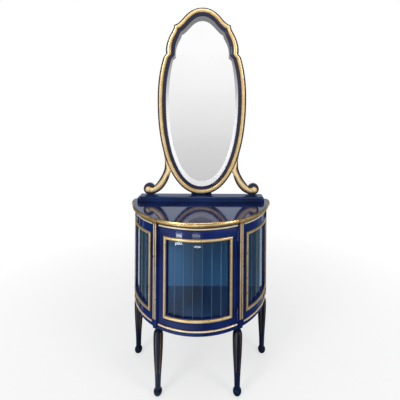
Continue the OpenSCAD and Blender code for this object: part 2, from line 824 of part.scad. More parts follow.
// The rail under the mirror: a moulded edge returned round its two front corners.
plinth_corner = 16;
function plinth_profile() = concat(
    [[0, 0]],
    [[plinth_corner, 0]],
    [[plinth_corner, plinth_h - plinth_edge_r - 2]],
    [[plinth_corner - 1.5, plinth_h - plinth_edge_r]],
    [for (i = [1:8]) let (a = i * 90 / 8) [plinth_corner - 1.5 - plinth_edge_r + plinth_edge_r * cos(a),
        plinth_h - plinth_edge_r + plinth_edge_r * sin(a)]],
    [[0, plinth_h]]);
module mirror_plinth() {
    x = plinth_w / 2 - plinth_corner;
    y1 = -back_recess;
    y2 = y1 - plinth_d + plinth_corner;
    color(navy) in_frame() translate([0, 0, cabinet_h]) {
        union() {
            translate([-x, y2, 0]) cube([2 * x, y1 - y2, plinth_h]);
            translate([-x, y2, 0]) rotate([90, 0, 90]) linear_extrude(2 * x)
                mirror([1, 0]) polygon(plinth_profile());
            for (s = [0, 1]) mirror([s, 0, 0]) {
                translate([x, y1, 0]) rotate([90, 0, 0]) linear_extrude(y1 - y2)
                    polygon(plinth_profile());
                translate([x, y2, 0]) rotate_extrude(angle = 90, start = 270)
                    polygon(plinth_profile());
            }
        }
    }
}

// The mirror's outlines are half curves from the bottom to the top, with x to the right
// and z measured from the rail, drawn for a mirror 480 wide and 1012 high and stretched to
// its set width and height. Each is a tall oval, fuller than an ellipse, then a step in at
// a notch, a lobe up to a pointed ear, and a bell-shaped crown. An oval holds the half
// width, the height of the widest point and the distances from there down and up.
wide = mirror_w / 480;
high = mirror_h / 1012;
oval_power = 2.17;
oval_n = 16;
upper_n = 8;
lobe_n = 6;
crown_n = 8;
function oval_x(o, z) = o[0] * pow(1 - pow(abs(z - o[1]) / (z < o[1] ? o[2] : o[3]), oval_power),
    1 / oval_power);
function stretched(pts) = [for (p = pts) [p[0] * wide, p[1] * high]];
// Stations of the lower quarter are spread evenly in angle, those above it in height.
function half_outline(o, z_end, notch, lobe, ear, crown, top) = stretched(concat(
    [for (i = [0:oval_n]) let (z = o[1] - o[2] * cos(90 * i / oval_n)) [oval_x(o, z), z]],
    [for (i = [1:upper_n]) let (z = o[1] + (z_end - o[1]) * i / upper_n) [oval_x(o, z), z]],
    [notch],
    bez_run(notch, lobe[0], lobe[1], lobe[2], lobe_n),
    bez_run(lobe[2], lobe[3], lobe[4], ear, 4),
    bez_run(ear, crown[0], crown[1], crown[2], 5),
    bez_run(crown[2], crown[3], crown[4], top, crown_n)));
mirror_mid = 518;
outer_oval = [240, mirror_mid, mirror_mid, 425];
outer_half = half_outline(outer_oval, 743, [196, 761],
    [[202, 793], [192, 828], [175, 864], [165, 883], [153, 899]], [154, 918],
    [[136, 921], [124, 934], [109, 950], [83, 983], [50, 1012]], [0, 1012]);
sight_oval = [197, mirror_mid, 475, 382];
sight_half = half_outline(sight_oval, 737, [151.5, 753],
    [[149, 785], [151, 809], [140, 834], [133, 850], [126, 866]], [120, 883],
    [[108, 889], [98, 899], [86, 912], [62, 940], [38, 969]], [0, 969]);
flat_oval = [180, mirror_mid, 446, 395];
flat_half = half_outline(flat_oval, 725, [142.5, 739],
    [[145, 772], [142, 792], [131, 817], [124, 831], [115, 845]], [111, 863],
    [[100, 867], [90, 877], [78, 890], [58, 912], [36, 940]], [0, 940]);
// Closes a half curve into the whole outline by its mirror image.
function whole(h) = concat(h, [for (i = [len(h) - 2:-1:1]) [-h[i][0], h[i][1]]]);
outer_line = whole(outer_half);
sight_line = whole(sight_half);
flat_line = whole(flat_half);
ring_n = len(outer_line);

// A point a share s of the way from one outline to the other, at depth y.
function between(p, q, s, y) = [p[0] + s * (q[0] - p[0]), y, p[1] + s * (q[1] - p[1])];
// A ring swept round two outlines: section points are [share across, depth].
module outline_ring(sec) {
    m = len(sec);
    pts = [for (i = [0:ring_n - 1]) for (p = sec) between(outer_line[i], sight_line[i], p[0], p[1])];
    faces = [for (i = [0:ring_n - 1]) for (j = [0:m - 1])
        let (a = i * m + j, b = i * m + (j + 1) % m,
            c = ((i + 1) % ring_n) * m + (j + 1) % m, d = ((i + 1) % ring_n) * m + j)
        each [[a, b, c], [a, c, d]]];
    polyhedron(points = pts, faces = faces);
}
band_s1 = 0.14;
band_s2 = 0.62;
module at_mirror() {
    in_frame() translate([0, 0, plinth_top]) children();
}
module mirror_frame() {
    lip = mirror_glass_front - 0.2;
    sec = [[0, mirror_back], [0, mirror_face + 3], [0.03, mirror_face + 1], [0.07, mirror_face],
        [0.66, mirror_face], [0.76, mirror_face + 1.2], [0.9, mirror_face + 3.6],
        [1, mirror_face + 4.4], [1, lip], [1 - glass_seat, lip], [1 - glass_seat, mirror_back]];
    color(navy) at_mirror() outline_ring(sec);
}
module mirror_gilt_band() {
    mid = (band_s1 + band_s2) / 2;
    half = (band_s2 - band_s1) / 2;
    sec = concat([[band_s2, mirror_face - 0.02], [band_s1, mirror_face - 0.02]],
        [for (i = [1:5]) let (a = 180 - i * 30) [mid + half * cos(a), mirror_face - band_t * sin(a)]]);
    color(gilt) at_mirror() outline_ring(sec);
}
// A plate between two depths whose edge lies a share s across the frame.
module outline_plate(s, y1, y2) {
    line = [for (i = [0:ring_n - 1]) let (p = between(outer_line[i], sight_line[i], s, 0)) [p[0], p[2]]];
    translate([0, y1, 0]) rotate([90, 0, 0]) linear_extrude(y1 - y2) polygon(line);
}
// The mirror: an upright edge, a bevel, and the flat face inside it.
module mirror_glass() {
    s = 1 - glass_seat + 0.01;
    y1 = mirror_board_front;
    y2 = mirror_glass_front + bevel_t;
    rings = [for (k = [0:2]) [for (i = [0:ring_n - 1])
        k == 0 ? between(outer_line[i], sight_line[i], s, y1)
        : k == 1 ? between(outer_line[i], sight_line[i], s, y2)
        : [flat_line[i][0], mirror_glass_front, flat_line[i][1]]]];
    faces = concat(
        [[for (i = [0:ring_n - 1]) i]],
        [for (k = [0:1]) for (i = [0:ring_n - 1])
            let (a = k * ring_n + i, b = k * ring_n + (i + 1) % ring_n)
            each [[a, a + ring_n, b + ring_n], [a, b + ring_n, b]]],
        [[for (i = [ring_n - 1:-1:0]) 2 * ring_n + i]]);
    color(silver) at_mirror() polyhedron(points = [for (r = rings) each r], faces = faces);
}
module mirror_back_board() {
    color(bare_wood) at_mirror() difference() {
        outline_plate(1 - glass_seat + 0.01, mirror_back, mirror_board_front);
        translate([0, 0, -plinth_top]) mirror_screw_rows()
            cylinder(r = strap_screw_r, h = back_recess + board_t + 1);
    }
}

// A scroll foot lies between an upper edge and a lower edge. The lower edge first follows
// the oval, where the scroll is joined to the frame, and then runs free to the volute.
volute = [plinth_w / 2 - volute_end, volute_r];
join_n = 6;
free_n = 10;
join_z1 = 216;
crotch_z = 130;
// The volute's outline runs from the upper edge over its outer side to its lowest point.
volute_a = 152;
volute_start = volute + volute_r * [cos(volute_a), sin(volute_a)];
volute_arc = [for (i = [1:15]) let (a = volute_a - (volute_a + 90) * i / 16)
    volute + volute_r * [cos(a), sin(a)]];
crotch = [(oval_x(outer_oval, crotch_z) + 0.1) * wide, crotch_z * high];
scroll_upper = concat(
    stretched([for (i = [0:join_n]) bez([203.6, 220], [199, 205], [195, 168], [200, 140], i / join_n)]),
    bez_run([200 * wide, 140 * high], [206 * wide, 112 * high], volute_start + [-26, 29],
        volute_start, free_n));
scroll_lower = concat(
    stretched([for (i = [0:join_n]) let (z = join_z1 + (crotch_z - join_z1) * i / join_n)
        [oval_x(outer_oval, z) + 0.1, z]]),
    bez_run(crotch, crotch + [5, -64], [volute[0] - 67, 0], [volute[0], 0], free_n));
scroll_n = len(scroll_upper);
// A bar swept between two edge curves with closed ends.
module edge_loft(up, low, sec) {
    m = len(sec);
    n = len(up);
    pts = [for (i = [0:n - 1]) for (p = sec) between(up[i], low[i], p[0], p[1])];
    faces = concat(
        [[for (j = [m - 1:-1:0]) j]],
        [for (i = [0:n - 2]) for (j = [0:m - 1])
            let (a = i * m + j, b = i * m + (j + 1) % m, c = (i + 1) * m + (j + 1) % m, d = (i + 1) * m + j)
            each [[a, b, c], [a, c, d]]],
        [[for (j = [0:m - 1]) (n - 1) * m + j]]);
    polyhedron(points = pts, faces = faces);
}
function turned(h) = [for (i = [len(h) - 1:-1:0]) h[i]];
module scroll() {
    translate([0, mirror_back, 0]) rotate([90, 0, 0]) linear_extrude(mirror_frame_t)
        polygon(concat(scroll_upper, volute_arc, turned(scroll_lower)));
}
module scroll_left() {
    color(navy) at_mirror() to_left() scroll();
}
module scroll_right() {
    color(navy) at_mirror() scroll();
}
// The gilt band on a scroll runs out of the band on the oval and ends in a round boss.
boss_at = volute + [2, -0.5];
// A point a set length from p towards q, but at most a given share of the way.
function inset(p, q, len, share) =
    let (w = norm(q - p), s = min(len, w * share) / w) p + s * (q - p);
gilt_upper = concat([for (i = [1:scroll_n - 1]) inset(scroll_upper[i], scroll_lower[i], 7, 0.3)],
    [boss_at + [-7, 10]]);
gilt_lower = concat([for (i = [1:scroll_n - 1]) inset(scroll_lower[i], scroll_upper[i], 7, 0.25)],
    [boss_at + [-3, -12]]);
module scroll_gilt() {
    sec = concat([[0, mirror_face - 0.02], [1, mirror_face - 0.02]],
        [for (i = [1:5]) let (a = i * 30) [0.5 + 0.5 * cos(a), mirror_face - band_t * sin(a)]]);
    union() {
        edge_loft(gilt_upper, gilt_lower, sec);
        translate([boss_at[0], mirror_face - 0.02, boss_at[1]]) intersection() {
            scale([1, 0.6, 1]) sphere(r = boss_r, $fn = 32);
            translate([-50, -50, -50]) cube([100, 50, 100]);
        }
    }
}
module scroll_gilt_left() {
    color(gilt) at_mirror() to_left() scroll_gilt();
}
module scroll_gilt_right() {
    color(gilt) at_mirror() scroll_gilt();
}

// Two straps, let into the back edge of the top, tie the mirror to the back of the body.
module mirror_straps() {
    color(bare_wood) in_frame() difference() {
        for (s = [-1, 1])
            translate([s * strap_x - strap_w / 2, -strap_t, cabinet_h - strap_below])
                cube([strap_w, strap_t, strap_below + strap_above]);
        strap_screw_rows() cylinder(r = strap_screw_r, h = strap_t + 1);
        mirror_screw_rows() cylinder(r = strap_screw_r, h = strap_t + 1);
    }
}
module strap_screw(len) {
    cylinder(r = strap_screw_r - 0.02, h = len);
}
module strap_screws() {
    color(brass) in_frame() {
        strap_screw_rows() strap_screw(back_recess + back_t - 0.5);
        mirror_screw_rows() strap_screw(back_recess + board_t - 0.5);
    }
}

top_board();
top_edge_moulding();
frieze_rail();
frieze_bead();
base_rail();
base_bead();
floor_board();
back_panel();
front_post_left();
front_post_right();
back_post_left();
back_post_right();
post_reeds();
leg_front_left();
leg_front_right();
leg_back_left();
leg_back_right();
side_top_rail_left();
side_top_rail_right();
side_bottom_rail_left();
side_bottom_rail_right();
side_stiles_left();
side_stiles_right();
side_gilt_moulding_left();
side_gilt_moulding_right();
side_glass_left();
side_glass_right();
side_glazing_beads_left();
side_glazing_beads_right();
door_stile_left();
door_stile_right();
door_top_rail();
door_bottom_rail();
door_gilt_moulding();
door_glass();
door_glazing_beads();
hinge_leaves_post();
hinge_leaves_door();
hinge_pins();
hinge_screws_post();
hinge_screws_door();
ball_catch();
catch_strike();
mirror_plinth();
mirror_frame();
mirror_gilt_band();
mirror_glass();
mirror_back_board();
scroll_left();
scroll_right();
scroll_gilt_left();
scroll_gilt_right();
mirror_straps();
strap_screws();
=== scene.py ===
import math

import bpy
import numpy as np
from mathutils import Matrix, Vector


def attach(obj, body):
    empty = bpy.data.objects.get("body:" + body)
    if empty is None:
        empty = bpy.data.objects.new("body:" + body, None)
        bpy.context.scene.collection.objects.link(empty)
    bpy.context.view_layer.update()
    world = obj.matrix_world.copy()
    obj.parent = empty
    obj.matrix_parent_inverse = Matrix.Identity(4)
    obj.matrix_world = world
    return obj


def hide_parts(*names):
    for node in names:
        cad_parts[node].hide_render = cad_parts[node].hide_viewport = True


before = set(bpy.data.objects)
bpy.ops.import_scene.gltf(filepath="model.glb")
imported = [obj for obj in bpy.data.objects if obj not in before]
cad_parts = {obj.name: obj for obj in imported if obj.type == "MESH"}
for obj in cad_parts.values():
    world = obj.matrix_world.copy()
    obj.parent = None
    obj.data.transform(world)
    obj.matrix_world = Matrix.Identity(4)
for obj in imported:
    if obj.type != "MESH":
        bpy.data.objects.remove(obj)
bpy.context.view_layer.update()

# Half-round display cabinet with a glazed door and a tall shaped mirror.
# Sizes are in millimetres in the plan's own frame: x to the right, y = 0 at the wall and
# negative towards the front, z from the floor. place() turns them into metres in the shared
# frame. Plan angles are in degrees, start at the front and turn towards +x.

# Sizes of the body
DEPTH = 364.0
BODY_R = 345.0
FRAME_T = 22.0
POST_IN = 315.0
STRIP_R = 353.0
LEG_H = 320.0
FLOOR_TOP = 348.0
FRIEZE_Z = 782.0
TOP_UNDER = 798.0
TOP = 820.0
POST_A = 33.8
POST_W = 35.0
STRIP_W = 27.0
BACK_POST_W = 49.0
BACK_STEP = 4.0
ARRIS = 0.8
SIDES = (("left", -1), ("right", 1))

# Sizes of the door and the side panels
DOOR_GAP = 2.2
DOOR_PLAY = 1.5
DOOR_STILE_W = 38.5
SIDE_STILE_W = 31.0
RABBET_W = 6.0
LIP_T = 9.0
SIGHT_Z1, SIGHT_Z2 = 393.5, 729.0

# Sizes of the mirror and of the rail that carries it
PLINTH_W, PLINTH_D, PLINTH_H = 669.0, 70.0, 27.0
MIRROR_BACK, MIRROR_FACE, GLASS_FACE = -8.0, -24.0, -17.0
BACK_BOARD_T, BEVEL_SINK = 4.0, 2.5
PLATE_SHARE = 0.81
BAND_T = 6.5
SEAT_Y = MIRROR_FACE - 0.02


def deg(length, r=BODY_R):
    """The plan angle of an arc of that length on a circle of radius r."""
    return np.degrees(length / r)


RAIL_IN = BODY_R - FRAME_T
LIP_R = BODY_R - LIP_T
PLINTH_TOP = TOP + PLINTH_H
DOOR_Z1, DOOR_Z2 = FLOOR_TOP + DOOR_PLAY, FRIEZE_Z - DOOR_PLAY
RABBET_Z1, RABBET_Z2 = SIGHT_Z1 - RABBET_W, SIGHT_Z2 + RABBET_W
RABBET_A = deg(RABBET_W)
POST_A1, POST_A2 = POST_A - deg(POST_W) / 2, POST_A + deg(POST_W) / 2
BACK_A1 = 90 - deg(BACK_POST_W)
DOOR_A = POST_A1 - deg(DOOR_GAP)
SIGHT_A = DOOR_A - deg(DOOR_STILE_W)
SIDE_SIGHT_A1, SIDE_SIGHT_A2 = POST_A2 + deg(SIDE_STILE_W), BACK_A1 - deg(SIDE_STILE_W)


# Shaping tools

def place(p):
    """Plan millimetres to metres: the wall line lies half the depth behind the middle."""
    return (np.asarray(p, float) + [0.0, DEPTH / 2, 0.0]) / 1000.0


def polar(r, a, z):
    """A point at radius r and plan angle a: x = r sin a, y = -r cos a."""
    t = np.radians(a)
    return np.stack(np.broadcast_arrays(r * np.sin(t), -r * np.cos(t), z), -1)


def aside(r, s, a, z):
    """A point at radius r and s to the side of the radius at the plan angle a:
    x = r sin a + s cos a, y = s sin a - r cos a."""
    t = math.radians(a)
    x, y = r * math.sin(t) + s * math.cos(t), s * math.sin(t) - r * math.cos(t)
    return np.stack(np.broadcast_arrays(x, y, z), -1)


def on_wall(xz, y):
    """Points (x, height over the moulded rail) at the depth y."""
    return np.stack(np.broadcast_arrays(xz[..., 0], y, xz[..., 1] + PLINTH_TOP), -1)


def ring_faces(nu, nv, wrap_u, wrap_v):
    """Quads of an nu by nv grid of points, joined end to end where a way round is closed."""
    i = np.arange(nu if wrap_u else nu - 1)[:, None]
    j = np.arange(nv if wrap_v else nv - 1)[None, :]
    i2, j2 = (i + 1) % nu, (j + 1) % nv
    return np.stack([i * nv + j, i2 * nv + j, i2 * nv + j2, i * nv + j2], -1).reshape(-1, 4)


def with_ends(grid):
    """Faces of a closed section carried along an open path, with its two ends filled."""
    nu, nv = grid.shape[:2]
    faces = ring_faces(nu, nv, False, True).tolist()
    faces.append(list(range(nv)))
    faces.append([(nu - 1) * nv + k for k in range(nv)][::-1])
    return faces


def welded(points, faces):
    """Joins points that round to the same micrometre and drops faces that shrink to nothing.
    The last result is the number of the first point of each joined set."""
    keys = np.round(points * 1000).astype(np.int64)
    _, first, where = np.unique(keys, axis=0, return_index=True, return_inverse=True)
    where = where.ravel()
    kept = []
    for face in faces:
        ids = where[face].tolist()
        ids = [v for v, before in zip(ids, ids[-1:] + ids[:-1]) if v != before]
        if len(set(ids)) > 2:
            kept.append(ids)
    return points[first], kept, first


def turned_out(points, faces):
    """Turns all faces round if the volume that they enclose comes out negative."""
    fans = np.array([(f[0], f[k], f[k + 1]) for f in faces for k in range(1, len(f) - 1)])
    a, b, c = points[fans.T]
    volume = np.einsum("ij,ij->i", a, np.cross(b, c)).sum()
    return [face[::-1] for face in faces] if volume < 0 else faces


def build(name, points, faces, body, material, node, sharp=32.0, bevel=0.0, mask=None,
          second=None, second_faces=None):
    """Puts points (in plan millimetres) and faces into a mesh with its faces outwards, marks
    edges sharper than an angle, and lets the piece ride on its body in place of its node. mask
    is the gilt and painted light value of each point: where a leg's flutes are gilt, and where
    gilt pieces and the mirror's bevel get painted shade, painted highlights and painted light.
    second is the material of the faces marked in second_faces."""
    points, faces, first = welded(np.asarray(points, float).reshape(-1, 3), faces)
    faces = turned_out(points, faces)
    mesh = bpy.data.meshes.new(name)
    mesh.from_pydata(place(points).tolist(), [], faces)
    if mask is not None:
        attribute = mesh.attributes.new("gilt_and_painted_light", "FLOAT", "POINT")
        attribute.data.foreach_set("value", np.asarray(mask, np.float32).ravel()[first])
    piece = bpy.data.objects.new(name, mesh)
    bpy.context.scene.collection.objects.link(piece)
    mesh.polygons.foreach_set("use_smooth", np.ones(len(mesh.polygons), bool))
    mesh.set_sharp_from_angle(angle=math.radians(sharp))
    if bevel:
        rounding = piece.modifiers.new("rounding", "BEVEL")
        rounding.width = bevel / 1000
        rounding.segments = 3
        rounding.limit_method = "ANGLE"
        rounding.angle_limit = math.radians(sharp)
        rounding.harden_normals = True
    mesh.materials.append(material)
    if second is not None:
        mesh.materials.append(second)
        mesh.polygons.foreach_set("material_index", np.asarray(second_faces, np.int32))
    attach(piece, body)
    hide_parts(node)


def swept_section(section, a1, a2, step=1.0):
    """A closed section of points (radius, height) turned about the plan's middle from a1 to a2:
    P(a, k) = (r_k sin a, -r_k cos a, z_k)."""
    n = max(2, int(abs(a2 - a1) / step) + 1)
    a = np.linspace(a1, a2, n)[:, None]
    s = np.asarray(section, float)
    return polar(s[None, :, 0], a, s[None, :, 1])


def stepped(outline, counts):
    """Cuts each side of a closed outline into its number of equal steps."""
    points = np.asarray(outline, float)
    ends = np.roll(points, -1, axis=0)
    return np.vstack([a + (b - a) * np.arange(n)[:, None] / n for a, b, n in zip(points, ends, counts)])


def half_round(w, t, n=12):
    """Points (out, across) of a flat-backed round moulding w wide and t proud, from one edge to
    the other: an arc of a circle, or a half circle on straight sides where t is over w / 2."""
    if t > w / 2:
        e = np.radians(np.linspace(-90, 90, n + 1))
        arc = np.stack([t - w / 2 + w / 2 * np.cos(e), w / 2 * np.sin(e)], -1)
        return np.vstack([[0, -w / 2], arc, [0, w / 2]])
    r = (w * w / 4 + t * t) / (2 * t)
    e = np.linspace(-1, 1, n + 1) * math.asin(w / 2 / r)
    return np.stack([t - r + r * np.cos(e), r * np.sin(e)], -1)


def bezier(a, b, c, d, t):
    """Points of the cubic curve with ends a, d and handles b, c at the parameters t."""
    t = np.asarray(t, float)[:, None]
    a, b, c, d = (np.asarray(v, float) for v in (a, b, c, d))
    return (1 - t) ** 3 * a + 3 * (1 - t) ** 2 * t * b + 3 * (1 - t) * t * t * c + t ** 3 * d


def onward(n):
    """The parameters of n steps along a curve, without its start."""
    return np.linspace(0, 1, n + 1)[1:]


def crest(section):
    """The painted light value of each point of a section: how proud it stands, from 0 at the base to 1.
    Gilt pieces get painted shade where it is low and a painted highlight where it is high.
    """
    out = np.asarray(section, float)[:, 0]
    return (out - out.min()) / np.ptp(out)


# Node tools

def feed(tree, node, values):
    """Gives inputs of a node their values: a number or a colour is written into the input, and
    another node's output is linked to it."""
    for key, value in values.items():
        socket = node.inputs[key]
        if isinstance(value, tuple):
            socket.default_value = (*value, 1.0)
        elif isinstance(value, (int, float)):
            socket.default_value = value
        else:
            tree.links.new(value, socket)


def new_material(name):
    """A new material with its node tree and its main shader."""
    m = bpy.data.materials.new(name)
    m.use_nodes = True
    shader = next(n for n in m.node_tree.nodes if n.type == "BSDF_PRINCIPLED")
    return m, m.node_tree, shader


def object_coords(tree):
    """The place of each point in the object's own frame, in metres."""
    return tree.nodes.new("ShaderNodeTexCoord").outputs["Object"]


def parts_of(tree, vector):
    """The x, y and z of a vector."""
    split = tree.nodes.new("ShaderNodeSeparateXYZ")
    tree.links.new(vector, split.inputs[0])
    return [split.outputs[k] for k in "XYZ"]


def worked(tree, operation, *values):
    """One step of arithmetic on sockets or numbers."""
    n = tree.nodes.new("ShaderNodeMath")
    n.operation = operation
    feed(tree, n, dict(enumerate(values)))
    return n.outputs[0]


def noise(tree, scale, detail=4.0, rough=0.55, stretch=(1, 1, 1), distortion=0.0):
    """Noise on the object's own coordinates, which stretch multiplies first."""
    mapping = tree.nodes.new("ShaderNodeMapping")
    mapping.inputs["Scale"].default_value = stretch
    tree.links.new(object_coords(tree), mapping.inputs["Vector"])
    n = tree.nodes.new("ShaderNodeTexNoise")
    feed(tree, n, {"Vector": mapping.outputs["Vector"], "Scale": scale, "Detail": detail,
                   "Roughness": rough, "Distortion": distortion})
    return n.outputs["Fac"]


def ramp(tree, source, stops):
    """Colours over a value from 0 to 1, from stops of (value, colour)."""
    r = tree.nodes.new("ShaderNodeValToRGB")
    elements = r.color_ramp.elements
    while len(elements) < len(stops):
        elements.new(0.5)
    for e, (position, colour) in zip(elements, stops):
        e.position = position
        e.color = (*colour, 1.0)
    tree.links.new(source, r.inputs["Fac"])
    return r.outputs["Color"]


def spread(tree, source, low, high, out_low, out_high):
    """Carries source from the range low..high to out_low..out_high, and holds it beyond the ends."""
    n = tree.nodes.new("ShaderNodeMapRange")
    feed(tree, n, {"Value": source, "From Min": low, "From Max": high, "To Min": out_low,
                   "To Max": out_high})
    return n.outputs["Result"]


def grey_ramp(tree, source, stops):
    """Greys over a value, from stops of (value, grey)."""
    low, high = stops[0][0], stops[-1][0]
    place_of = spread(tree, source, low, high, 0.0, 1.0)
    return ramp(tree, place_of, [((v - low) / (high - low), (g, g, g)) for v, g in stops])


def angle_ramp(tree, angle, stops):
    """Greys over an angle in radians, from stops of (degrees, grey)."""
    return grey_ramp(tree, angle, [(math.radians(v), g) for v, g in stops])


def blend_colours(tree, share, a, b, way="MIX"):
    """Colour b laid over colour a by a share from 0 to 1."""
    m = tree.nodes.new("ShaderNodeMix")
    m.data_type = "RGBA"
    m.blend_type = way
    feed(tree, m, {"Factor": share, 6: a, 7: b})
    return m.outputs[2]


def blend_values(tree, share, a, b):
    """The value that lies between a and b by a share from 0 to 1."""
    m = tree.nodes.new("ShaderNodeMix")
    m.data_type = "FLOAT"
    feed(tree, m, {"Factor": share, 2: a, 3: b})
    return m.outputs[0]


def mix_shaders(tree, share, first, second):
    """The first shader where share is 0 and the second where it is 1."""
    mix = tree.nodes.new("ShaderNodeMixShader")
    feed(tree, mix, {0: share, 1: first, 2: second})
    return mix.outputs[0]


def show(tree, result):
    """Sends a shader to the material's output."""
    out = next(n for n in tree.nodes if n.type == "OUTPUT_MATERIAL")
    tree.links.new(result, out.inputs["Surface"])


def bumps(tree, *layers):
    """Bump layers of (height, strength, depth in millimetres), one over another."""
    last = None
    for height, strength, depth in layers:
        b = tree.nodes.new("ShaderNodeBump")
        feed(tree, b, {"Height": height, "Strength": strength, "Distance": depth / 1000})
        if last is not None:
            tree.links.new(last, b.inputs["Normal"])
        last = b.outputs["Normal"]
    return last


# Finishes

BLUE = ((0.0022, 0.0085, 0.064), (0.0058, 0.0230, 0.145))
LEG_BLUE = ((0.0014, 0.0060, 0.022), (0.0030, 0.0110, 0.044))
RAIL_BLUE = ((0.0016, 0.0080, 0.040), (0.0036, 0.0170, 0.080))
# the body's blue lacquer painted darker and greyer for the mirror frame: painted shade and painted grey
# sheen
FRAME_BLUE = ((0.0050, 0.0072, 0.028), (0.0088, 0.0120, 0.048))
SLATE = ((0.0040, 0.0075, 0.034), (0.0070, 0.0125, 0.060))
GOLD = ((0.56, 0.33, 0.11), (0.69, 0.44, 0.16), (0.83, 0.60, 0.28))
# dark brown painted shade along the foot of each gilt moulding
FOOT_SHADE = (0.050, 0.028, 0.014)


def lacquer_colour(tree, tones=BLUE):
    """Deep blue lacquer: slow clouds between two tones, and a fine mottle."""
    tone = ramp(tree, noise(tree, 7.0, 3.0), [(0.34, tones[0]), (0.64, tones[1])])
    speck = ramp(tree, noise(tree, 160.0, 3.0), [(0.42, (0.93, 0.93, 0.93)), (0.6, (1.06, 1.06, 1.06))])
    return blend_colours(tree, 1.0, tone, speck, "MULTIPLY")


def gilt_colour(tree):
    """Leaf gold: warm tone with paler worn patches and small dark flecks of wear."""
    tone = ramp(tree, noise(tree, 22.0, 4.0), list(zip((0.3, 0.5, 0.72), GOLD)))
    worn = ramp(tree, noise(tree, 230.0, 4.0, 0.6), [(0.26, (0.50, 0.38, 0.26)), (0.36, (1.0, 1.0, 1.0))])
    return blend_colours(tree, 0.3, tone, blend_colours(tree, 1.0, tone, worn, "MULTIPLY"))


def gilt_and_light_value(tree, low, high, ragged=0.15):
    """The gilt and painted light value stored with a piece, made ragged by a fine noise, as 0 below low and
    1 above high."""
    read = tree.nodes.new("ShaderNodeAttribute")
    read.attribute_name = "gilt_and_painted_light"
    fray = spread(tree, noise(tree, 70.0, 3.0), 0.3, 0.7, -ragged, ragged)
    return spread(tree, worked(tree, "ADD", read.outputs["Fac"], fray), low, high, 0.0, 1.0)


def make_lacquer(name="blue lacquer", sheen=0.32, roughness=(0.04, 0.09), tones=BLUE):
    """Polished lacquer with slow waves and a fine grain."""
    m, tree, shader = new_material(name)
    feed(tree, shader, {
        "Base Color": lacquer_colour(tree, tones),
        "Roughness": spread(tree, noise(tree, 34.0), 0.35, 0.7, *roughness),
        "Specular IOR Level": sheen,
        "Normal": bumps(tree, (noise(tree, 20.0, 1.0), 0.03, 0.5), (noise(tree, 420.0, 1.0), 0.004, 0.08))})
    return m


def make_gilding(name="gilding", shine=0.72, pale=(0.92, 0.76, 0.44), roughness=(0.26, 0.36)):
    """Leaf gold with a dark brown painted shade along the foot of each moulding and a pale painted
    highlight on its crest.
    """
    m, tree, shader = new_material(name)
    # the crest is painted pale: a painted highlight
    painted_highlight = blend_colours(tree, gilt_and_light_value(tree, 0.70, 1.04, 0.02), gilt_colour(tree), pale)
    # the foot is painted dark brown and less metallic: painted shade
    proud = gilt_and_light_value(tree, 0.06, 0.45, 0.01)
    feed(tree, shader, {
        "Base Color": blend_colours(tree, proud, FOOT_SHADE, painted_highlight),
        "Metallic": blend_values(tree, proud, 0.3, shine),
        "Roughness": spread(tree, noise(tree, 60.0, 3.0), 0.3, 0.7, *roughness),
        "Normal": bumps(tree, (noise(tree, 16.0, 1.0), 0.05, 0.5), (noise(tree, 300.0, 2.0), 0.015, 0.06))})
    return m


def make_fluted():
    """Lacquer where the piece's gilt value is 0 and dulled leaf gold where it is 1."""
    m, tree, shader = new_material("fluted leg finish")
    gilt = gilt_and_light_value(tree, 0.42, 0.58)
    dull = blend_colours(tree, 1.0, gilt_colour(tree), (0.22, 0.22, 0.27), "MULTIPLY")
    feed(tree, shader, {
        "Base Color": blend_colours(tree, gilt, lacquer_colour(tree, LEG_BLUE), dull),
        "Metallic": blend_values(tree, gilt, 0.0, 0.7),
        "Roughness": blend_values(tree, gilt, 0.14, 0.4),
        "Specular IOR Level": 0.25,
        "Normal": bumps(tree, (noise(tree, 60.0, 3.0), 0.08, 0.5))})
    return m


def make_glass():
    """Clear window glass with a faint blue tint; rays from lamps pass through it."""
    m, tree, shader = new_material("window glass")
    streak = noise(tree, 3.0, 2.0, 0.5, (1, 1, 0.35))
    feed(tree, shader, {
        "Base Color": (0.72, 0.88, 0.96),
        "Transmission Weight": 1.0,
        "IOR": 1.28,
        "Roughness": spread(tree, streak, 0.3, 0.7, 0.0, 0.02),
        "Normal": bumps(tree, (noise(tree, 5.0, 1.0), 0.012, 0.6))})
    clear = tree.nodes.new("ShaderNodeBsdfTransparent")
    feed(tree, clear, {"Color": (0.82, 0.90, 0.97)})
    shadow = tree.nodes.new("ShaderNodeLightPath").outputs["Is Shadow Ray"]
    show(tree, mix_shaders(tree, shadow, shader.outputs[0], clear.outputs[0]))
    return m


def make_mirror():
    """Silvered plate glass: bright, very smooth, with a trace of waviness."""
    m, tree, shader = new_material("silvering")
    haze = noise(tree, 4.0, 3.0)
    feed(tree, shader, {
        "Base Color": ramp(tree, haze, [(0.3, (0.962, 0.962, 0.962)), (0.7, (0.985, 0.985, 0.983))]),
        "Metallic": 1.0,
        "Roughness": spread(tree, haze, 0.3, 0.7, 0.01, 0.03),
        "Normal": bumps(tree, (noise(tree, 3.0, 1.0), 0.03, 0.5))})
    return m


def make_bevel():
    """The bevel of the plate, painted white and less metallic where its painted light value is higher: a
    painted reflection of white light.
    """
    m, tree, shader = new_material("polished bevel")
    light = gilt_and_light_value(tree, 0.0, 1.0, 0.0)
    feed(tree, shader, {
        "Base Color": blend_colours(tree, light, (0.90, 0.91, 0.93), (1.0, 1.0, 1.0)),
        "Metallic": blend_values(tree, light, 1.0, 0.0),
        "Roughness": spread(tree, noise(tree, 12.0, 3.0), 0.3, 0.7, 0.02, 0.06),
        "Normal": bumps(tree, (noise(tree, 5.0, 1.0), 0.03, 0.5))})
    return m


def make_ground_edge():
    """The ground edges of the glass strips, pale and matt."""
    m, tree, shader = new_material("ground glass edge")
    fine = noise(tree, 300.0, 3.0)
    feed(tree, shader, {
        "Base Color": ramp(tree, fine, [(0.3, (0.15, 0.22, 0.30)), (0.7, (0.24, 0.33, 0.42))]),
        "Roughness": spread(tree, fine, 0.3, 0.7, 0.4, 0.6)})
    return m


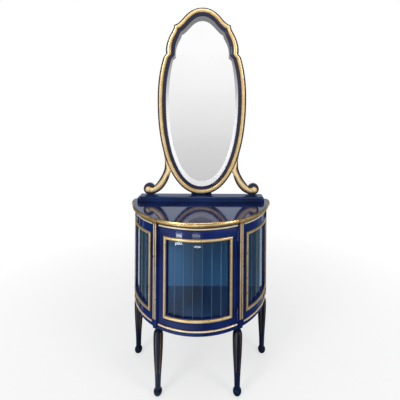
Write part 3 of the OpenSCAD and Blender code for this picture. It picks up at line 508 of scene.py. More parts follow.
def make_painted_metal():
    """Brass lacquered over in blue, worn thin in places."""
    m, tree, shader = new_material("painted hinge")
    worn = noise(tree, 180.0)
    tones = [(0.35, (0.010, 0.022, 0.13)), (0.68, (0.018, 0.036, 0.19)), (0.74, (0.20, 0.15, 0.08))]
    feed(tree, shader, {
        "Base Color": ramp(tree, worn, tones),
        "Roughness": spread(tree, worn, 0.3, 0.7, 0.18, 0.32),
        "Normal": bumps(tree, (worn, 0.1, 0.08))})
    return m


def make_inside(name, dark, light, light_from_left=1.0):
    """Satin paint inside the cabinet, with faint brush streaks up and down. At the left it is
    painted paler than at the right by the given factor: painted light falling from the left."""
    m, tree, shader = new_material(name)
    streak = noise(tree, 26.0, 5.0, 0.6, (1, 1, 0.08))
    paint = ramp(tree, streak, [(0.3, dark), (0.7, light)])
    across = spread(tree, parts_of(tree, object_coords(tree))[0], -0.22, 0.10, 1.0, 0.0)
    level = 1 / light_from_left
    painted_light_falloff = ramp(tree, across, [(0.0, (level, level, level)), (1.0, (1.0, 1.0, 1.0))])
    feed(tree, shader, {
        "Base Color": blend_colours(tree, 1.0, paint, painted_light_falloff, "MULTIPLY"),
        "Roughness": spread(tree, streak, 0.3, 0.7, 0.34, 0.5),
        "Specular IOR Level": 0.35,
        "Normal": bumps(tree, (streak, 0.15, 0.3))})
    return m


def make_brass():
    """Plain brass, slightly brushed."""
    m, tree, shader = new_material("brass")
    fine = noise(tree, 150.0)
    feed(tree, shader, {
        "Base Color": ramp(tree, fine, [(0.3, (0.42, 0.30, 0.13)), (0.7, (0.62, 0.47, 0.22))]),
        "Metallic": 1.0,
        "Roughness": spread(tree, fine, 0.3, 0.7, 0.25, 0.42),
        "Normal": bumps(tree, (fine, 0.1, 0.1))})
    return m


def make_wood():
    """Bare wood with an upright grain."""
    m, tree, shader = new_material("plain wood")
    grain = noise(tree, 40.0, 6.0, 0.6, (1, 1, 0.06), 0.6)
    tones = [(0.3, (0.11, 0.055, 0.025)), (0.55, (0.19, 0.105, 0.05)), (0.75, (0.25, 0.15, 0.075))]
    feed(tree, shader, {
        "Base Color": ramp(tree, grain, tones),
        "Roughness": spread(tree, grain, 0.3, 0.7, 0.55, 0.75),
        "Normal": bumps(tree, (grain, 0.3, 0.4))})
    return m


lacquer = make_lacquer()
top_lacquer = make_lacquer("polished top lacquer", 0.6, (0.06, 0.13), SLATE)
# the frame and scroll plates get the same lacquer as the body, painted darker and greyer as painted shade
# and sheen
frame_lacquer = make_lacquer("darkened lacquer of the mirror frame", 0.5, (0.14, 0.26), FRAME_BLUE)
rail_lacquer = make_lacquer("lacquer of the moulded rail", 0.18, (0.12, 0.22), RAIL_BLUE)
# the pale colour of each gilding is the painted highlight on its crests
gilding = make_gilding()
band_gilding = make_gilding("gilding of the mirror band", 0.35, (0.86, 0.68, 0.36))
scroll_gilding = make_gilding("gilding of the scrolls", 0.25, (1.0, 0.86, 0.54))
bead_gilding = make_gilding("gilding of the beads with a pale painted highlight", 0.30, (1.0, 0.95, 0.78))
nosing_gilding = make_gilding("gilding of the nosing", 0.84, (1.0, 0.78, 0.38), (0.20, 0.28))
fluted = make_fluted()
glass = make_glass()
ground_edge = make_ground_edge()
silvering = make_mirror()
bevel_silver_and_painted_light = make_bevel()
# the last number makes the left side paler: painted light from the left
inside_paint = make_inside("blue paint inside", (0.085, 0.225, 0.43), (0.105, 0.27, 0.50), 1.55)
floor_paint = make_inside("dark paint of the floor inside", (0.022, 0.055, 0.13), (0.032, 0.074, 0.165),
                          1.45)
# the glazing beads are painted near-black: painted shade in the rabbets
bead_paint_with_painted_shade = make_inside("glazing bead paint darkened as painted shade", (0.003, 0.006, 0.028), (0.005, 0.009, 0.040))
painted_metal = make_painted_metal()
brass = make_brass()
plain_wood = make_wood()


def lacquered(name, grid, node, material=lacquer, body="cabinet", sharp=32.0, bevel=ARRIS):
    """A lacquered piece made of closed sections with its two ends filled."""
    build(name, grid, with_ends(grid), body, material, node, sharp, bevel)


def gilded(name, grid, values, node, material=gilding, body="cabinet", sharp=50):
    """A gilded piece made in the same way. values is the painted light value of each point of a section,
    or of the whole grid: painted shade where it is low and a painted highlight where it is high."""
    build(name, grid, with_ends(grid), body, material, node, sharp,
          mask=np.broadcast_to(values, grid.shape[:2]))


# Legs

BALL_R, FOOT_R = 19.5, 8.0
BALL_Z = math.sqrt(BALL_R ** 2 - FOOT_R ** 2)
BALL_END = 44.0
ANKLE_Z = 46.0
SHOULDER_R, ANKLE_R, NECK_R, BELL_R = 22.4, 13.2, 10.8, 17.0
SHOULDER_Z, NECK_Z = LEG_H - 56, LEG_H - 21
FLUTE_PITCH = math.pi / 3
FLUTE_FIRST = math.radians(270 - 21)
FLUTE_FOOT, FLUTE_W1, FLUTE_W2 = 50.0, 4.6, 10.0
FLUTE_SINK = 0.21
GILT_Z1, GILT_FADE = 84.0, 50.0
LEG_INSET = 19.0
BACK_LEG_OUT, BACK_LEG_Y = 6.6, -30.0


def leg_profile():
    """Radius over height of a leg: an arc of the ball foot, a hollow into the ankle, a long
    swelling curve to the shoulder, a round top into the neck, and a bell under the post."""
    e = np.radians(np.linspace(math.degrees(math.asin(-BALL_Z / BALL_R)), BALL_END, 26))
    ball = np.stack([BALL_R * np.cos(e), BALL_Z + BALL_R * np.sin(e)], -1)
    hollow = bezier(ball[-1], (12.8, 35.5), (ANKLE_R - 0.3, 38.0), (ANKLE_R, ANKLE_Z), onward(8))
    swell = bezier((ANKLE_R, ANKLE_Z), (ANKLE_R + 0.2, 106), (SHOULDER_R, 186), (SHOULDER_R, SHOULDER_Z),
                   onward(64))
    crown = bezier((SHOULDER_R, SHOULDER_Z), (SHOULDER_R, SHOULDER_Z + 21), (NECK_R + 9, NECK_Z - 3),
                   (NECK_R + 1, NECK_Z - 2), onward(22))
    bell = bezier((NECK_R, NECK_Z), (NECK_R, NECK_Z + 8), (BELL_R, LEG_H - 9), (BELL_R, LEG_H), onward(14))
    return np.vstack([ball, hollow, swell, crown, [[NECK_R, NECK_Z]], bell])


def fluted_leg(name, x, y):
    """P(a, k) = (r_k - d) about the leg's axis, where d is the depth of the nearest flute:
    0.21 w (1 - (2 s / w)^2) at the distance s along the surface from the middle of a flute w
    wide. The flutes narrow to nothing at both ends, and their bottoms are gilt."""
    profile = leg_profile()
    a = np.radians(np.linspace(0, 360, 180, endpoint=False))[None, :]
    r, z = profile[:, :1], profile[:, 1:]
    width = np.interp(z, [FLUTE_FOOT - 2, NECK_Z - 8], [FLUTE_W1, FLUTE_W2])
    ends = np.clip((z - FLUTE_FOOT) / 26, 0, 1) * np.clip((NECK_Z - 3.5 - z) / 5.0, 0, 1)
    width = np.minimum(width * np.sqrt(ends), r * 0.62) + 1e-6
    turn = (a - FLUTE_FIRST + FLUTE_PITCH / 2) % FLUTE_PITCH - FLUTE_PITCH / 2
    across = 2 * np.abs(turn) * r / width
    rr = r - FLUTE_SINK * width * np.clip(1 - across ** 2, 0, 1) * (ends > 0)
    grid = np.stack([x + rr * np.cos(a), y + rr * np.sin(a), np.broadcast_to(z, rr.shape)], -1)
    gilt = np.clip((0.8 - across) * 4 + 0.5, 0, 1) * (ends > 0.01)
    gilt = gilt * np.clip((z - GILT_Z1) / GILT_FADE, 0.25, 1)
    build(name + "_turned", grid, with_ends(grid), "cabinet", fluted, name, 30, mask=gilt)


LEG_R = BODY_R - LEG_INSET
FRONT_LEG = (LEG_R * math.sin(math.radians(POST_A)), -LEG_R * math.cos(math.radians(POST_A)))
BACK_LEG = (math.sqrt((LEG_R + BACK_LEG_OUT) ** 2 - BACK_LEG_Y ** 2), BACK_LEG_Y)
for which, (leg_x, leg_y) in (("front", FRONT_LEG), ("back", BACK_LEG)):
    for tag, side in SIDES:
        fluted_leg("leg_%s_%s" % (which, tag), side * leg_x, leg_y)

# Curved bars, posts and reeds of the body

BODY_RAIL_IN = RAIL_IN - 5
BEAD_T, BEAD_END = 5.6, 0.3
FRIEZE_BEAD_Z, FRIEZE_BEAD_W = FRIEZE_Z + 5.3, 8.6
BASE_BEAD_Z, BASE_BEAD_W = FLOOR_TOP - 5.5, 7.0
STRIP_FOOT_H, STRIP_CANT = 30.0, 6.0
REED_W, REED_T = 8.0, 3.36
REED_DOME_Z, REED_DOME_H = 365.0, 4.2
REED_FROM_MIDDLE = 5.3


def curved_bar(name, section, a1, a2, node, body="cabinet"):
    """A lacquered bar: its section of points (radius, height) carried along an arc, as
    swept_section says."""
    lacquered(name, swept_section(section, a1, a2), node, body=body)


def body_rail(name, z1, z2, a1, a2, node):
    """A rail of the body between two heights, with a plain oblong section."""
    curved_bar(name, [(BODY_RAIL_IN, z1), (BODY_R, z1), (BODY_R, z2), (BODY_RAIL_IN, z2)], a1, a2, node)


def gilt_bead(name, r, z, w, t, a1, a2, node, material=bead_gilding, foot=1.0):
    """A half-round gilt moulding w wide and t proud, carried along an arc of radius r, as
    swept_section says, with its middle at the height z. Its painted light value is the crest's, times
    foot along its lower edge, so a small foot paints shade under it."""
    section = half_round(w, t, 18) + [r, z]
    values = crest(section) * np.interp((section[:, 1] - z) / w, [-0.5, 0.1], [foot, 1.0])
    gilded(name, swept_section(section, a1, a2), values, node, material)


SPANS = (("middle", -POST_A1, POST_A1), ("right", POST_A2, BACK_A1), ("left", -BACK_A1, -POST_A2))
for tag, a1, a2 in SPANS:
    body_rail("frieze_rail_" + tag, FRIEZE_Z, TOP_UNDER, a1, a2, "frieze_rail")
    body_rail("base_rail_" + tag, LEG_H, FLOOR_TOP, a1, a2, "base_rail")
    gilt_bead("frieze_bead_" + tag, BODY_R, FRIEZE_BEAD_Z, FRIEZE_BEAD_W, BEAD_T, a1 + BEAD_END,
              a2 - BEAD_END, "frieze_bead")
    gilt_bead("base_bead_" + tag, BODY_R, BASE_BEAD_Z, BASE_BEAD_W, BEAD_T, a1 + BEAD_END,
              a2 - BEAD_END, "base_bead")


def upright(name, rows, counts, node, body="cabinet", sharp=32.0):
    """P(z, k): plan outlines of points (radius, angle) at their heights, joined row by row. The
    sides of each outline are cut into the numbers of steps in counts."""
    grid = np.stack([polar(*stepped(outline, counts).T, z) for z, outline in rows])
    lacquered(name, grid, node, body=body, sharp=sharp)


def front_post(name, side):
    """The post with its raised strip, whose edges are canted inwards at the foot."""
    mid = side * POST_A
    a1, a2 = mid - deg(POST_W) / 2, mid + deg(POST_W) / 2

    def outline(half):
        """The plan of the post where its strip reaches half an angle to each side."""
        return [(POST_IN, a1), (BODY_R, a1), (BODY_R, mid - half), (STRIP_R, mid - half),
                (STRIP_R, mid + half), (BODY_R, mid + half), (BODY_R, a2), (POST_IN, a2)]

    foot, wide = outline(deg(STRIP_W) / 2 - deg(STRIP_CANT)), outline(deg(STRIP_W) / 2)
    upright(name + "_bar", [(LEG_H, foot), (LEG_H + STRIP_FOOT_H, wide), (TOP_UNDER, wide)], (6,) * 8,
            name, sharp=20)


def back_post(name, side):
    """The post at the wall, with a strip as proud as the front posts' strips."""
    a1, a2, a3 = side * np.array([BACK_A1, BACK_A1 + deg(BACK_STEP), 90.0])
    outline = [(POST_IN, a1), (BODY_R, a1), (BODY_R, a2), (STRIP_R, a2), (STRIP_R, a3), (POST_IN, a3)]
    upright(name + "_bar", [(LEG_H, outline), (TOP_UNDER, outline)], (1, 1, 1, 10, 1, 11), name)


for tag, side in SIDES:
    front_post("front_post_" + tag, side)
    back_post("back_post_" + tag, side)


def reed(name, a):
    """A flat-backed round strip up the face of a post. P(z, k): the point k of its half round,
    shrunk towards a domed lower end by sqrt(1 - ((365 - z) / 4.2)^2)."""
    s = half_round(REED_W, REED_T, 14)
    z = np.concatenate([REED_DOME_Z - np.array([4, 3.7, 2.8, 1.5, 0]),
                        np.linspace(REED_DOME_Z + 5, TOP_UNDER, 20)])[:, None]
    swell = np.sqrt(1 - np.clip((REED_DOME_Z - z) / REED_DOME_H, 0, 1) ** 2)
    swell = np.maximum(swell, 0.2)
    grid = aside(STRIP_R + s[None, :, 0] * swell, s[None, :, 1] * (0.4 + 0.6 * swell), a, z)
    # the crest of each reed gets a painted highlight and its foot painted shade
    gilded(name, grid, crest(s), "post_reeds")


for tag, side in SIDES:
    for k, near in ((-1, "inner"), (1, "outer")):
        reed("reed_%s_%s" % (tag, near), side * (POST_A + k * deg(REED_FROM_MIDDLE, STRIP_R)))

# Gilt nosing of the top

NOSING_H, NOSING_Z, NOSING_OUT = 21.0, 809.0, 6.5
BOARD_R = DEPTH - NOSING_OUT
BREAK_OUT = 6.0
CORNER_R, CORNER_Y = 24.0, -23.7
CORNER_X = math.sqrt((BOARD_R + BREAK_OUT - CORNER_R + 0.3) ** 2 - CORNER_Y ** 2)
CORNER_A = 90 + math.degrees(math.atan(CORNER_Y / CORNER_X))
BREAK_HALF = deg(STRIP_W) / 2 + deg(5)
A_IN, A_OUT = POST_A - BREAK_HALF, POST_A + BREAK_HALF
BACK_BREAK = 90 - deg(BACK_POST_W + 4)


def nosing_corner(name, side):
    """The half round taken round the corner's circle, (24 + out_k)(cos e, sin e) from its middle,
    and cut off flush at the wall plane."""
    s = half_round(NOSING_H, NOSING_OUT, 18)
    e = np.radians(np.linspace(CORNER_A - 90, 90, 40))[:, None]
    r = CORNER_R + s[None, :, 0]
    grid = np.stack([side * (CORNER_X + r * np.cos(e)), np.minimum(CORNER_Y + r * np.sin(e), 0),
                     np.broadcast_to(NOSING_Z + s[None, :, 1], (40, len(s)))], -1)
    # the crest of the corner gets a painted highlight and its foot painted shade
    gilded(name, grid, crest(s), "top_edge_moulding", nosing_gilding)


for name, a1, a2, out in (
        ("nosing_middle", -A_IN, A_IN, 0), ("nosing_over_left_post", -A_OUT, -A_IN, BREAK_OUT),
        ("nosing_over_right_post", A_IN, A_OUT, BREAK_OUT), ("nosing_left", -BACK_BREAK, -A_OUT, 0),
        ("nosing_right", A_OUT, BACK_BREAK, 0), ("nosing_back_left", -CORNER_A, -BACK_BREAK, BREAK_OUT),
        ("nosing_back_right", BACK_BREAK, CORNER_A, BREAK_OUT)):
    # the nosing's lower edge keeps only 0.1 of the value: deep painted shade under it
    gilt_bead(name, BOARD_R + out, NOSING_Z, NOSING_H, NOSING_OUT, a1, a2, "top_edge_moulding",
              nosing_gilding, 0.1)
for tag, side in SIDES:
    nosing_corner("nosing_corner_" + tag, side)

# Frames, gilt mouldings and glass of the door and the side panels

MOULDING_W, MOULDING_T, MITRE_GAP = 14.5, 6.0, 0.05
GLASS_IN_R, GLASS_T, GLASS_ARRIS = 332.2, 3.0, 0.35
GLASS_PLAY = 0.3


def panel_bars(a1, a2, left_end, right_end, z1, z2, body, top, bottom, stiles):
    """Two stiles and two rails round an opening between the plan angles a1 and a2, each with a
    rabbet behind a lip. stiles gives the piece and the node of the left and of the right one."""
    over = [(LIP_R, SIGHT_Z2), (BODY_R, SIGHT_Z2), (BODY_R, z2), (RAIL_IN, z2), (RAIL_IN, RABBET_Z2),
            (LIP_R, RABBET_Z2)]
    under = [(RAIL_IN, z1), (BODY_R, z1), (BODY_R, SIGHT_Z1), (LIP_R, SIGHT_Z1), (LIP_R, RABBET_Z1),
             (RAIL_IN, RABBET_Z1)]
    curved_bar(top + "_bar", over, a1, a2, top, body)
    curved_bar(bottom + "_bar", under, a1, a2, bottom, body)
    for (name, node), sight, far in zip(stiles, (a1, a2), (left_end, right_end)):
        deep = sight + RABBET_A * (1 if far > sight else -1)
        back = [(BODY_R, sight), (BODY_R, far), (RAIL_IN, far), (RAIL_IN, deep)]
        plain = back + [(RAIL_IN, sight), (LIP_R, sight)]
        rabbet = back + [(LIP_R, deep), (LIP_R, sight)]
        upright(name, [(z1, plain), (RABBET_Z1, plain), (RABBET_Z1, rabbet), (RABBET_Z2, rabbet),
                       (RABBET_Z2, plain), (z2, plain)], (8, 1, 8, 1, 1, 1), node, body)


panel_bars(-SIGHT_A, SIGHT_A, -DOOR_A, DOOR_A, DOOR_Z1, DOOR_Z2, "door", "door_top_rail",
           "door_bottom_rail", [("door_stile_%s_bar" % tag, "door_stile_" + tag) for tag, _ in SIDES])
for tag, a1, a2, left_end, right_end, order in (
        ("right", SIDE_SIGHT_A1, SIDE_SIGHT_A2, POST_A2, BACK_A1, ("front", "back")),
        ("left", -SIDE_SIGHT_A2, -SIDE_SIGHT_A1, -BACK_A1, -POST_A2, ("back", "front"))):
    panel_bars(a1, a2, left_end, right_end, FLOOR_TOP, FRIEZE_Z, "cabinet", "side_top_rail_" + tag,
               "side_bottom_rail_" + tag,
               [("side_%s_stile_%s" % (which, tag), "side_stiles_" + tag) for which in order])


def gilt_frame(name, a1, a2, body, node):
    """Four mitred lengths of moulding round an opening whose sight edge is given. P(q, k): at the
    position q round the rectangle, the section point k lies across_k inwards from the outer
    edge and out_k proud of the body's face. The profile is a round with a small fillet step on
    its outer side. The uprights are straight: their section lies square to the radius at their
    middle."""
    w, t = MOULDING_W, MOULDING_T
    e = np.radians(np.linspace(0, 180, 15))
    across = np.concatenate([[0, 0, 1.4, 1.7], 1.7 + (w - 2.6 - 1.7) * (1 - np.cos(e)) / 2,
                             [w - 0.6, w, w]])[None, :]
    out = np.concatenate([[0, 1.5, 1.9, 1.6], 1.6 + (t - 1.6) * np.sin(e) ** 0.85, [1.5, 1.1, 0]])
    r = BODY_R + out[None, :]
    z1, z2, half = SIGHT_Z1 - w, SIGHT_Z2 + w, deg(w)
    low_a, high_a = a1 - half + deg(across) + deg(MITRE_GAP), a2 + half - deg(across) - deg(MITRE_GAP)
    low_z, high_z = z1 + across + MITRE_GAP, z2 - across - MITRE_GAP
    level = low_a + (high_a - low_a) * np.linspace(0, 1, 60)[:, None]
    rise = low_z + (high_z - low_z) * np.linspace(0, 1, 2)[:, None]
    for part, grid in (("bottom", polar(r, level, z1 + across)),
                       ("right", aside(r, w / 2 - across, a2 + half / 2, rise)),
                       ("top", polar(r, level, z2 - across)),
                       ("left", aside(r, across - w / 2, a1 - half / 2, rise))):
        # the moulding's crest gets a painted highlight and its feet painted shade
        gilded("%s_%s" % (name, part), grid, out / t, node, body=body, sharp=40)


def glass_strips(name, a1, a2, count, body, node):
    """Flat strips set edge to edge: each an eight-sided section, a thin oblong with small
    arrises, raised from the lower rabbet to the upper one."""
    reach = RABBET_A - deg(GLASS_PLAY)
    a1, a2 = a1 - reach, a2 + reach
    step = (a2 - a1) / count
    t, c = GLASS_T, GLASS_ARRIS
    half = GLASS_IN_R * math.tan(math.radians(step / 2)) - 0.05
    section = np.array([(0, -half + c), (c, -half), (t - c, -half), (t, -half + c), (t, half - c),
                        (t - c, half), (c, half), (0, half - c)])
    z = np.array([[RABBET_Z1 + GLASS_PLAY], [RABBET_Z2 - GLASS_PLAY]])
    grids = [aside(GLASS_IN_R + section[:, 0], section[:, 1], a1 + step * (i + 0.5), z)
             for i in range(count)]
    faces = [[16 * i + k for k in f] for i in range(count) for f in with_ends(grids[0])]
    # of a strip's ten faces the arrises, the two long edges and the two ends are ground
    ground = np.tile([1, 1, 1, 0, 1, 1, 1, 0, 1, 1], count)
    build(name, np.stack(grids), faces, body, glass, node, 30, second=ground_edge,
          second_faces=ground)


# opening, its sight angles, number of strips, body, and the nodes of its moulding and glass
PANELS = (("door", -SIGHT_A, SIGHT_A, 7, "door", "door_gilt_moulding", "door_glass"),
          ("right", SIDE_SIGHT_A1, SIDE_SIGHT_A2, 5, "cabinet", "side_gilt_moulding_right",
           "side_glass_right"),
          ("left", -SIDE_SIGHT_A2, -SIDE_SIGHT_A1, 5, "cabinet", "side_gilt_moulding_left",
           "side_glass_left"))
for tag, a1, a2, count, body, gilt_node, glass_node in PANELS:
    gilt_frame(tag + "_gilt", a1, a2, body, gilt_node)
for tag, a1, a2, count, body, gilt_node, glass_node in PANELS:
    glass_strips(tag + "_glass_strips", a1, a2, count, body, glass_node)

# Moulded rail under the mirror

PLINTH_ROUND = 16.0


def mirror_rail():
    """The moulded rail: a profile of points (out, height), an upright face under a quarter round,
    is carried along a path down the left end, round the front and up the right end.
    P(i, k) = path_i + normal_i out_k."""
    x, y = PLINTH_W / 2 - PLINTH_ROUND, MIRROR_BACK - PLINTH_D + PLINTH_ROUND
    e = np.radians(np.linspace(90, 0, 20))
    left = np.stack([np.full(20, -x), np.full(20, y), -np.sin(e), -np.cos(e)], -1)
    right = left[::-1] * [-1, 1, -1, 1]
    path = np.vstack([[-x, MIRROR_BACK, -1, 0], left, right, [x, MIRROR_BACK, 1, 0]])
    q = np.radians(np.linspace(0, 90, 16))
    out = np.concatenate([[15.3, 16, 16, 15.6, 14.5], 2.5 + 12 * np.cos(q)])
    z = np.concatenate([[0, 0.7, 12.6, 13.4, 13.6], 15 + 12 * np.sin(q)])
    xy = path[:, None, :2] + path[:, None, 2:] * out[None, :, None]
    grid = np.concatenate([xy, np.broadcast_to(TOP + z[None, :, None], xy.shape[:2] + (1,))], -1)
    nu, nv = grid.shape[:2]
    faces = ring_faces(nu, nv, False, False).tolist()
    faces.append([i * nv + nv - 1 for i in range(nu)][::-1])
    faces.append([i * nv for i in range(nu)])
    faces.append([k for k in range(nv)] + [(nu - 1) * nv + k for k in range(nv)][::-1])
    build("mirror_rail", grid, faces, "cabinet", rail_lacquer, "mirror_plinth", bevel=0.3)


mirror_rail()

# Mirror and its frame

OVAL_POWER = 2.17
OUTER_OVAL = (240, 518, 518, 425)
SIGHT_OVAL = (197, 518, 475, 382)
FLAT_OVAL = (180, 518, 446, 395)


def oval_x(oval, z):
    """Half width at the height z of a tall oval (half width, middle, reach down, reach up):
    x = w (1 - |z / reach|^2.17)^(1 / 2.17), with z from the middle."""
    reach = np.where(z < oval[1], oval[2], oval[3])
    inside = np.clip(1 - np.abs((z - oval[1]) / reach) ** OVAL_POWER, 0, 1)
    return oval[0] * inside ** (1 / OVAL_POWER)


def whole_outline(oval, z_end, notch, lobe, ear, crown, top):
    """An outline whose right half goes from bottom to top: the oval, a step in at the notch, a
    lobe up to the ear, and the bell-shaped crown. The left half mirrors it."""
    z = np.concatenate([oval[1] - oval[2] * np.cos(np.radians(np.linspace(0, 90, 65))),
                        np.linspace(oval[1], z_end, 33)[1:]])
    half = np.vstack([
        np.stack([oval_x(oval, z), z], -1), [notch], bezier(notch, lobe[0], lobe[1], lobe[2], onward(18)),
        bezier(lobe[2], lobe[3], lobe[4], ear, onward(12)),
        bezier(ear, crown[0], crown[1], crown[2], onward(14)),
        bezier(crown[2], crown[3], crown[4], top, onward(26))])
    return np.vstack([half, half[-2:0:-1] * [-1, 1]])


outer_line = whole_outline(
    OUTER_OVAL, 743, (196, 761), [(202, 793), (192, 828), (175, 864), (165, 883), (153, 899)], (154, 918),
    [(136, 921), (124, 934), (109, 950), (83, 983), (50, 1012)], (0, 1012))
sight_line = whole_outline(
    SIGHT_OVAL, 737, (151.5, 753), [(149, 785), (151, 809), (140, 834), (133, 850), (126, 866)], (120, 883),
    [(108, 889), (98, 899), (86, 912), (62, 940), (38, 969)], (0, 969))
flat_line = whole_outline(
    FLAT_OVAL, 725, (142.5, 739), [(145, 772), (142, 792), (131, 817), (124, 831), (115, 845)], (111, 863),
    [(100, 867), (90, 877), (78, 890), (58, 912), (36, 940)], (0, 940))


def ring_piece(name, section, material, node, sharp=34, values=None):
    """A section of points (share, depth) taken round the frame:
    P(i, k) = outer_i + share_k (sight_i - outer_i) at the depth y_k."""
    s = np.asarray(section, float)
    line = outer_line[:, None] + s[None, :, :1] * (sight_line - outer_line)[:, None]
    grid = on_wall(line, s[None, :, 1])
    faces = ring_faces(*grid.shape[:2], True, True).tolist()
    build(name, grid, faces, "cabinet", material, node, sharp, mask=values)


def frame_ring():
    """Upright outer edge with a small round, a flat face, and a hollow slope down to the glass."""
    e = np.radians(np.linspace(180, 90, 7))
    edge = np.stack([0.07 + 0.07 * np.cos(e), MIRROR_FACE + 3 - 3 * np.sin(e)], -1)
    slope = bezier((0.66, MIRROR_FACE), (0.78, MIRROR_FACE), (0.88, MIRROR_FACE + 3.6),
                   (0.995, MIRROR_FACE + 4.3), np.linspace(0, 1, 14))
    lip = GLASS_FACE - 0.2
    section = np.vstack([[0, MIRROR_BACK], edge, slope, [1, MIRROR_FACE + 4.8], [1, lip], [0.8, lip],
                         [0.8, MIRROR_BACK]])
    ring_piece("mirror_frame_ring", section, frame_lacquer, "mirror_frame")


def band_ring():
    """The gilt band, half round on the frame's face, with a painted highlight near its outer side and
    painted shade at its feet. The painted shade is left off the outer edge where the scrolls' gilding runs
    into it."""
    e = np.radians(np.linspace(180, 0, 17))[1:-1]
    section = np.vstack([[0.62, SEAT_Y], [0.14, SEAT_Y],
                         np.stack([0.38 + 0.24 * np.cos(e), MIRROR_FACE - BAND_T * np.sin(e)], -1)])
    share = section[:, 0]
    # painted highlight near the outer side, painted shade at both feet
    light = np.interp(share, [0.14, 0.18, 0.23, 0.36, 0.48, 0.62], [0.0, 0.15, 1.0, 0.95, 0.55, 0.10])
    by_scroll = (outer_line[:, 1] > 118) & (outer_line[:, 1] < 214)
    # no painted shade at the outer foot beside the scrolls
    light = np.where(by_scroll[:, None] & (share < 0.3), np.maximum(light, 0.6), light)
    ring_piece("mirror_band_ring", section, band_gilding, "mirror_gilt_band", 60, light)


def mirror_plate():
    """The plate: a back outline, an upright edge, a polished bevel and the flat inside it. Its
    edge lies inside the frame, at a share of the way from the outer line to the sight line. The
    bevel's painted light value rises towards the bottom, where it is painted white as a painted reflection."""
    edge = outer_line + PLATE_SHARE * (sight_line - outer_line)
    grid = np.stack([on_wall(edge, MIRROR_BACK - BACK_BOARD_T), on_wall(edge, GLASS_FACE + BEVEL_SINK),
                     on_wall(flat_line, GLASS_FACE)])
    n = grid.shape[1]
    # painted white reflection on the bevel, stronger towards the bottom
    light = np.clip((560 - edge[:, 1]) / 330, 0, 1)
    build("mirror_plate", grid, with_ends(grid), "cabinet", silvering, "mirror_glass", 1.5,
          mask=np.stack([light] * 3), second=bevel_silver_and_painted_light,
          second_faces=np.concatenate([np.zeros(n), np.ones(n), [0, 0]]))


frame_ring()
band_ring()
mirror_plate()

# Scroll feet

VOLUTE_R = 30.5
VOLUTE = np.array([PLINTH_W / 2 - 53.5, VOLUTE_R])
VOLUTE_START = 152.0
BOSS_R, BOSS_T = 16.5, 8.7
BOSS = VOLUTE + [5, -4]
SCROLL_MARGIN, OVAL_REACH = 9.0, -5.0


def scroll_edges():
    """Upper and lower edge of a scroll foot with equal stations, and the volute's outer arc."""
    a0 = math.radians(VOLUTE_START)
    start = VOLUTE + VOLUTE_R * np.array([math.cos(a0), math.sin(a0)])
    upper = np.vstack([bezier((203.6, 220), (199, 205), (195, 168), (200, 140), np.linspace(0, 1, 17)),
                       bezier((200, 140), (206, 112), start + [-26, 29], start, onward(32))])
    z = np.linspace(216, 130, 17)
    join = np.stack([oval_x(OUTER_OVAL, z) + 0.1, z], -1)
    lower = np.vstack([join, bezier(join[-1], join[-1] + [5, -64], (VOLUTE[0] - 67, 0), (VOLUTE[0], 0),
                                    onward(32))])
    a = np.radians(np.linspace(VOLUTE_START, -90, 50))[1:-1]
    return upper, lower, VOLUTE + VOLUTE_R * np.stack([np.cos(a), np.sin(a)], -1)


def scroll_plate(tag, side):
    """The plate of a scroll, cut to the two edges and the arc, as thick as the frame."""
    upper, lower, arc = scroll_edges()
    line = np.vstack([upper, arc, lower[::-1]]) * [side, 1]
    grid = np.stack([on_wall(line, MIRROR_BACK), on_wall(line, MIRROR_FACE)])
    lacquered("scroll_plate_" + tag, grid, "scroll_" + tag, frame_lacquer, sharp=30, bevel=1.2)


def scroll_band(tag, side):
    """The gilt band of a scroll, half round in section between two lines set in from the edges:
    P(i, k) = top_i + s_k (low_i - top_i). Beside the oval it reaches over to the oval's own
    band, and further down it keeps a margin. It ends under the boss."""
    upper, lower, _ = scroll_edges()
    gap = lower - upper
    wide = np.linalg.norm(gap, axis=1)[:, None]
    inset = np.concatenate([np.full(17, OVAL_REACH), np.linspace(OVAL_REACH, SCROLL_MARGIN, 8),
                            np.full(24, SCROLL_MARGIN)])[:, None]
    top = (upper + gap / wide * np.minimum(SCROLL_MARGIN, wide * 0.3))[1:]
    low = (lower - gap / wide * np.minimum(inset, wide * 0.3))[1:]
    top, low = np.vstack([top, BOSS + [-9, 11]]), np.vstack([low, BOSS + [-3, -13]])
    e = np.radians(np.linspace(0, 180, 15))[1:-1]
    s = np.concatenate([[0, 1], 0.5 + 0.5 * np.cos(e)])
    y = np.concatenate([[SEAT_Y] * 2, MIRROR_FACE - BAND_T * np.sin(e)])
    line = top[:, None] + s[None, :, None] * (low - top)[:, None]
    grid = on_wall(line * [side, 1], y)
    # painted highlight on the crest and painted shade at the feet
    light = ((MIRROR_FACE - y) / BAND_T) ** 2
    # the painted shade is left off where this band runs into the oval's
    by_frame = np.arange(len(grid))[:, None] < 20
    light = np.where(by_frame & (s > 0.5), np.maximum(light, 0.6), light)
    gilded("scroll_band_" + tag, grid, light, "scroll_gilt_" + tag, scroll_gilding, sharp=60)


def scroll_boss(tag, side):
    """A domed round boss in the volute: its height is 8.7 sqrt(1 - (r / 16.5)^2)."""
    a = np.radians(np.linspace(0, 360, 72, endpoint=False))[None, :]
    r = BOSS_R * np.array([1.0, 0.995, 0.97, 0.92, 0.84, 0.73, 0.6, 0.45, 0.3, 0.15, 0.02])[:, None]
    h = BOSS_T * np.sqrt(1 - (r / BOSS_R) ** 2) * np.ones_like(a)
    grid = on_wall(np.stack([side * BOSS[0] + r * np.cos(a), BOSS[1] + r * np.sin(a)], -1), SEAT_Y - h)
    # the boss's top gets a painted highlight and its rim painted shade
    gilded("scroll_boss_" + tag, grid, h / BOSS_T, "scroll_gilt_" + tag, scroll_gilding, sharp=60)


for tag, side in SIDES:
    scroll_plate(tag, side)
    scroll_band(tag, side)
    scroll_boss(tag, side)

# Construction pieces that stay as they are

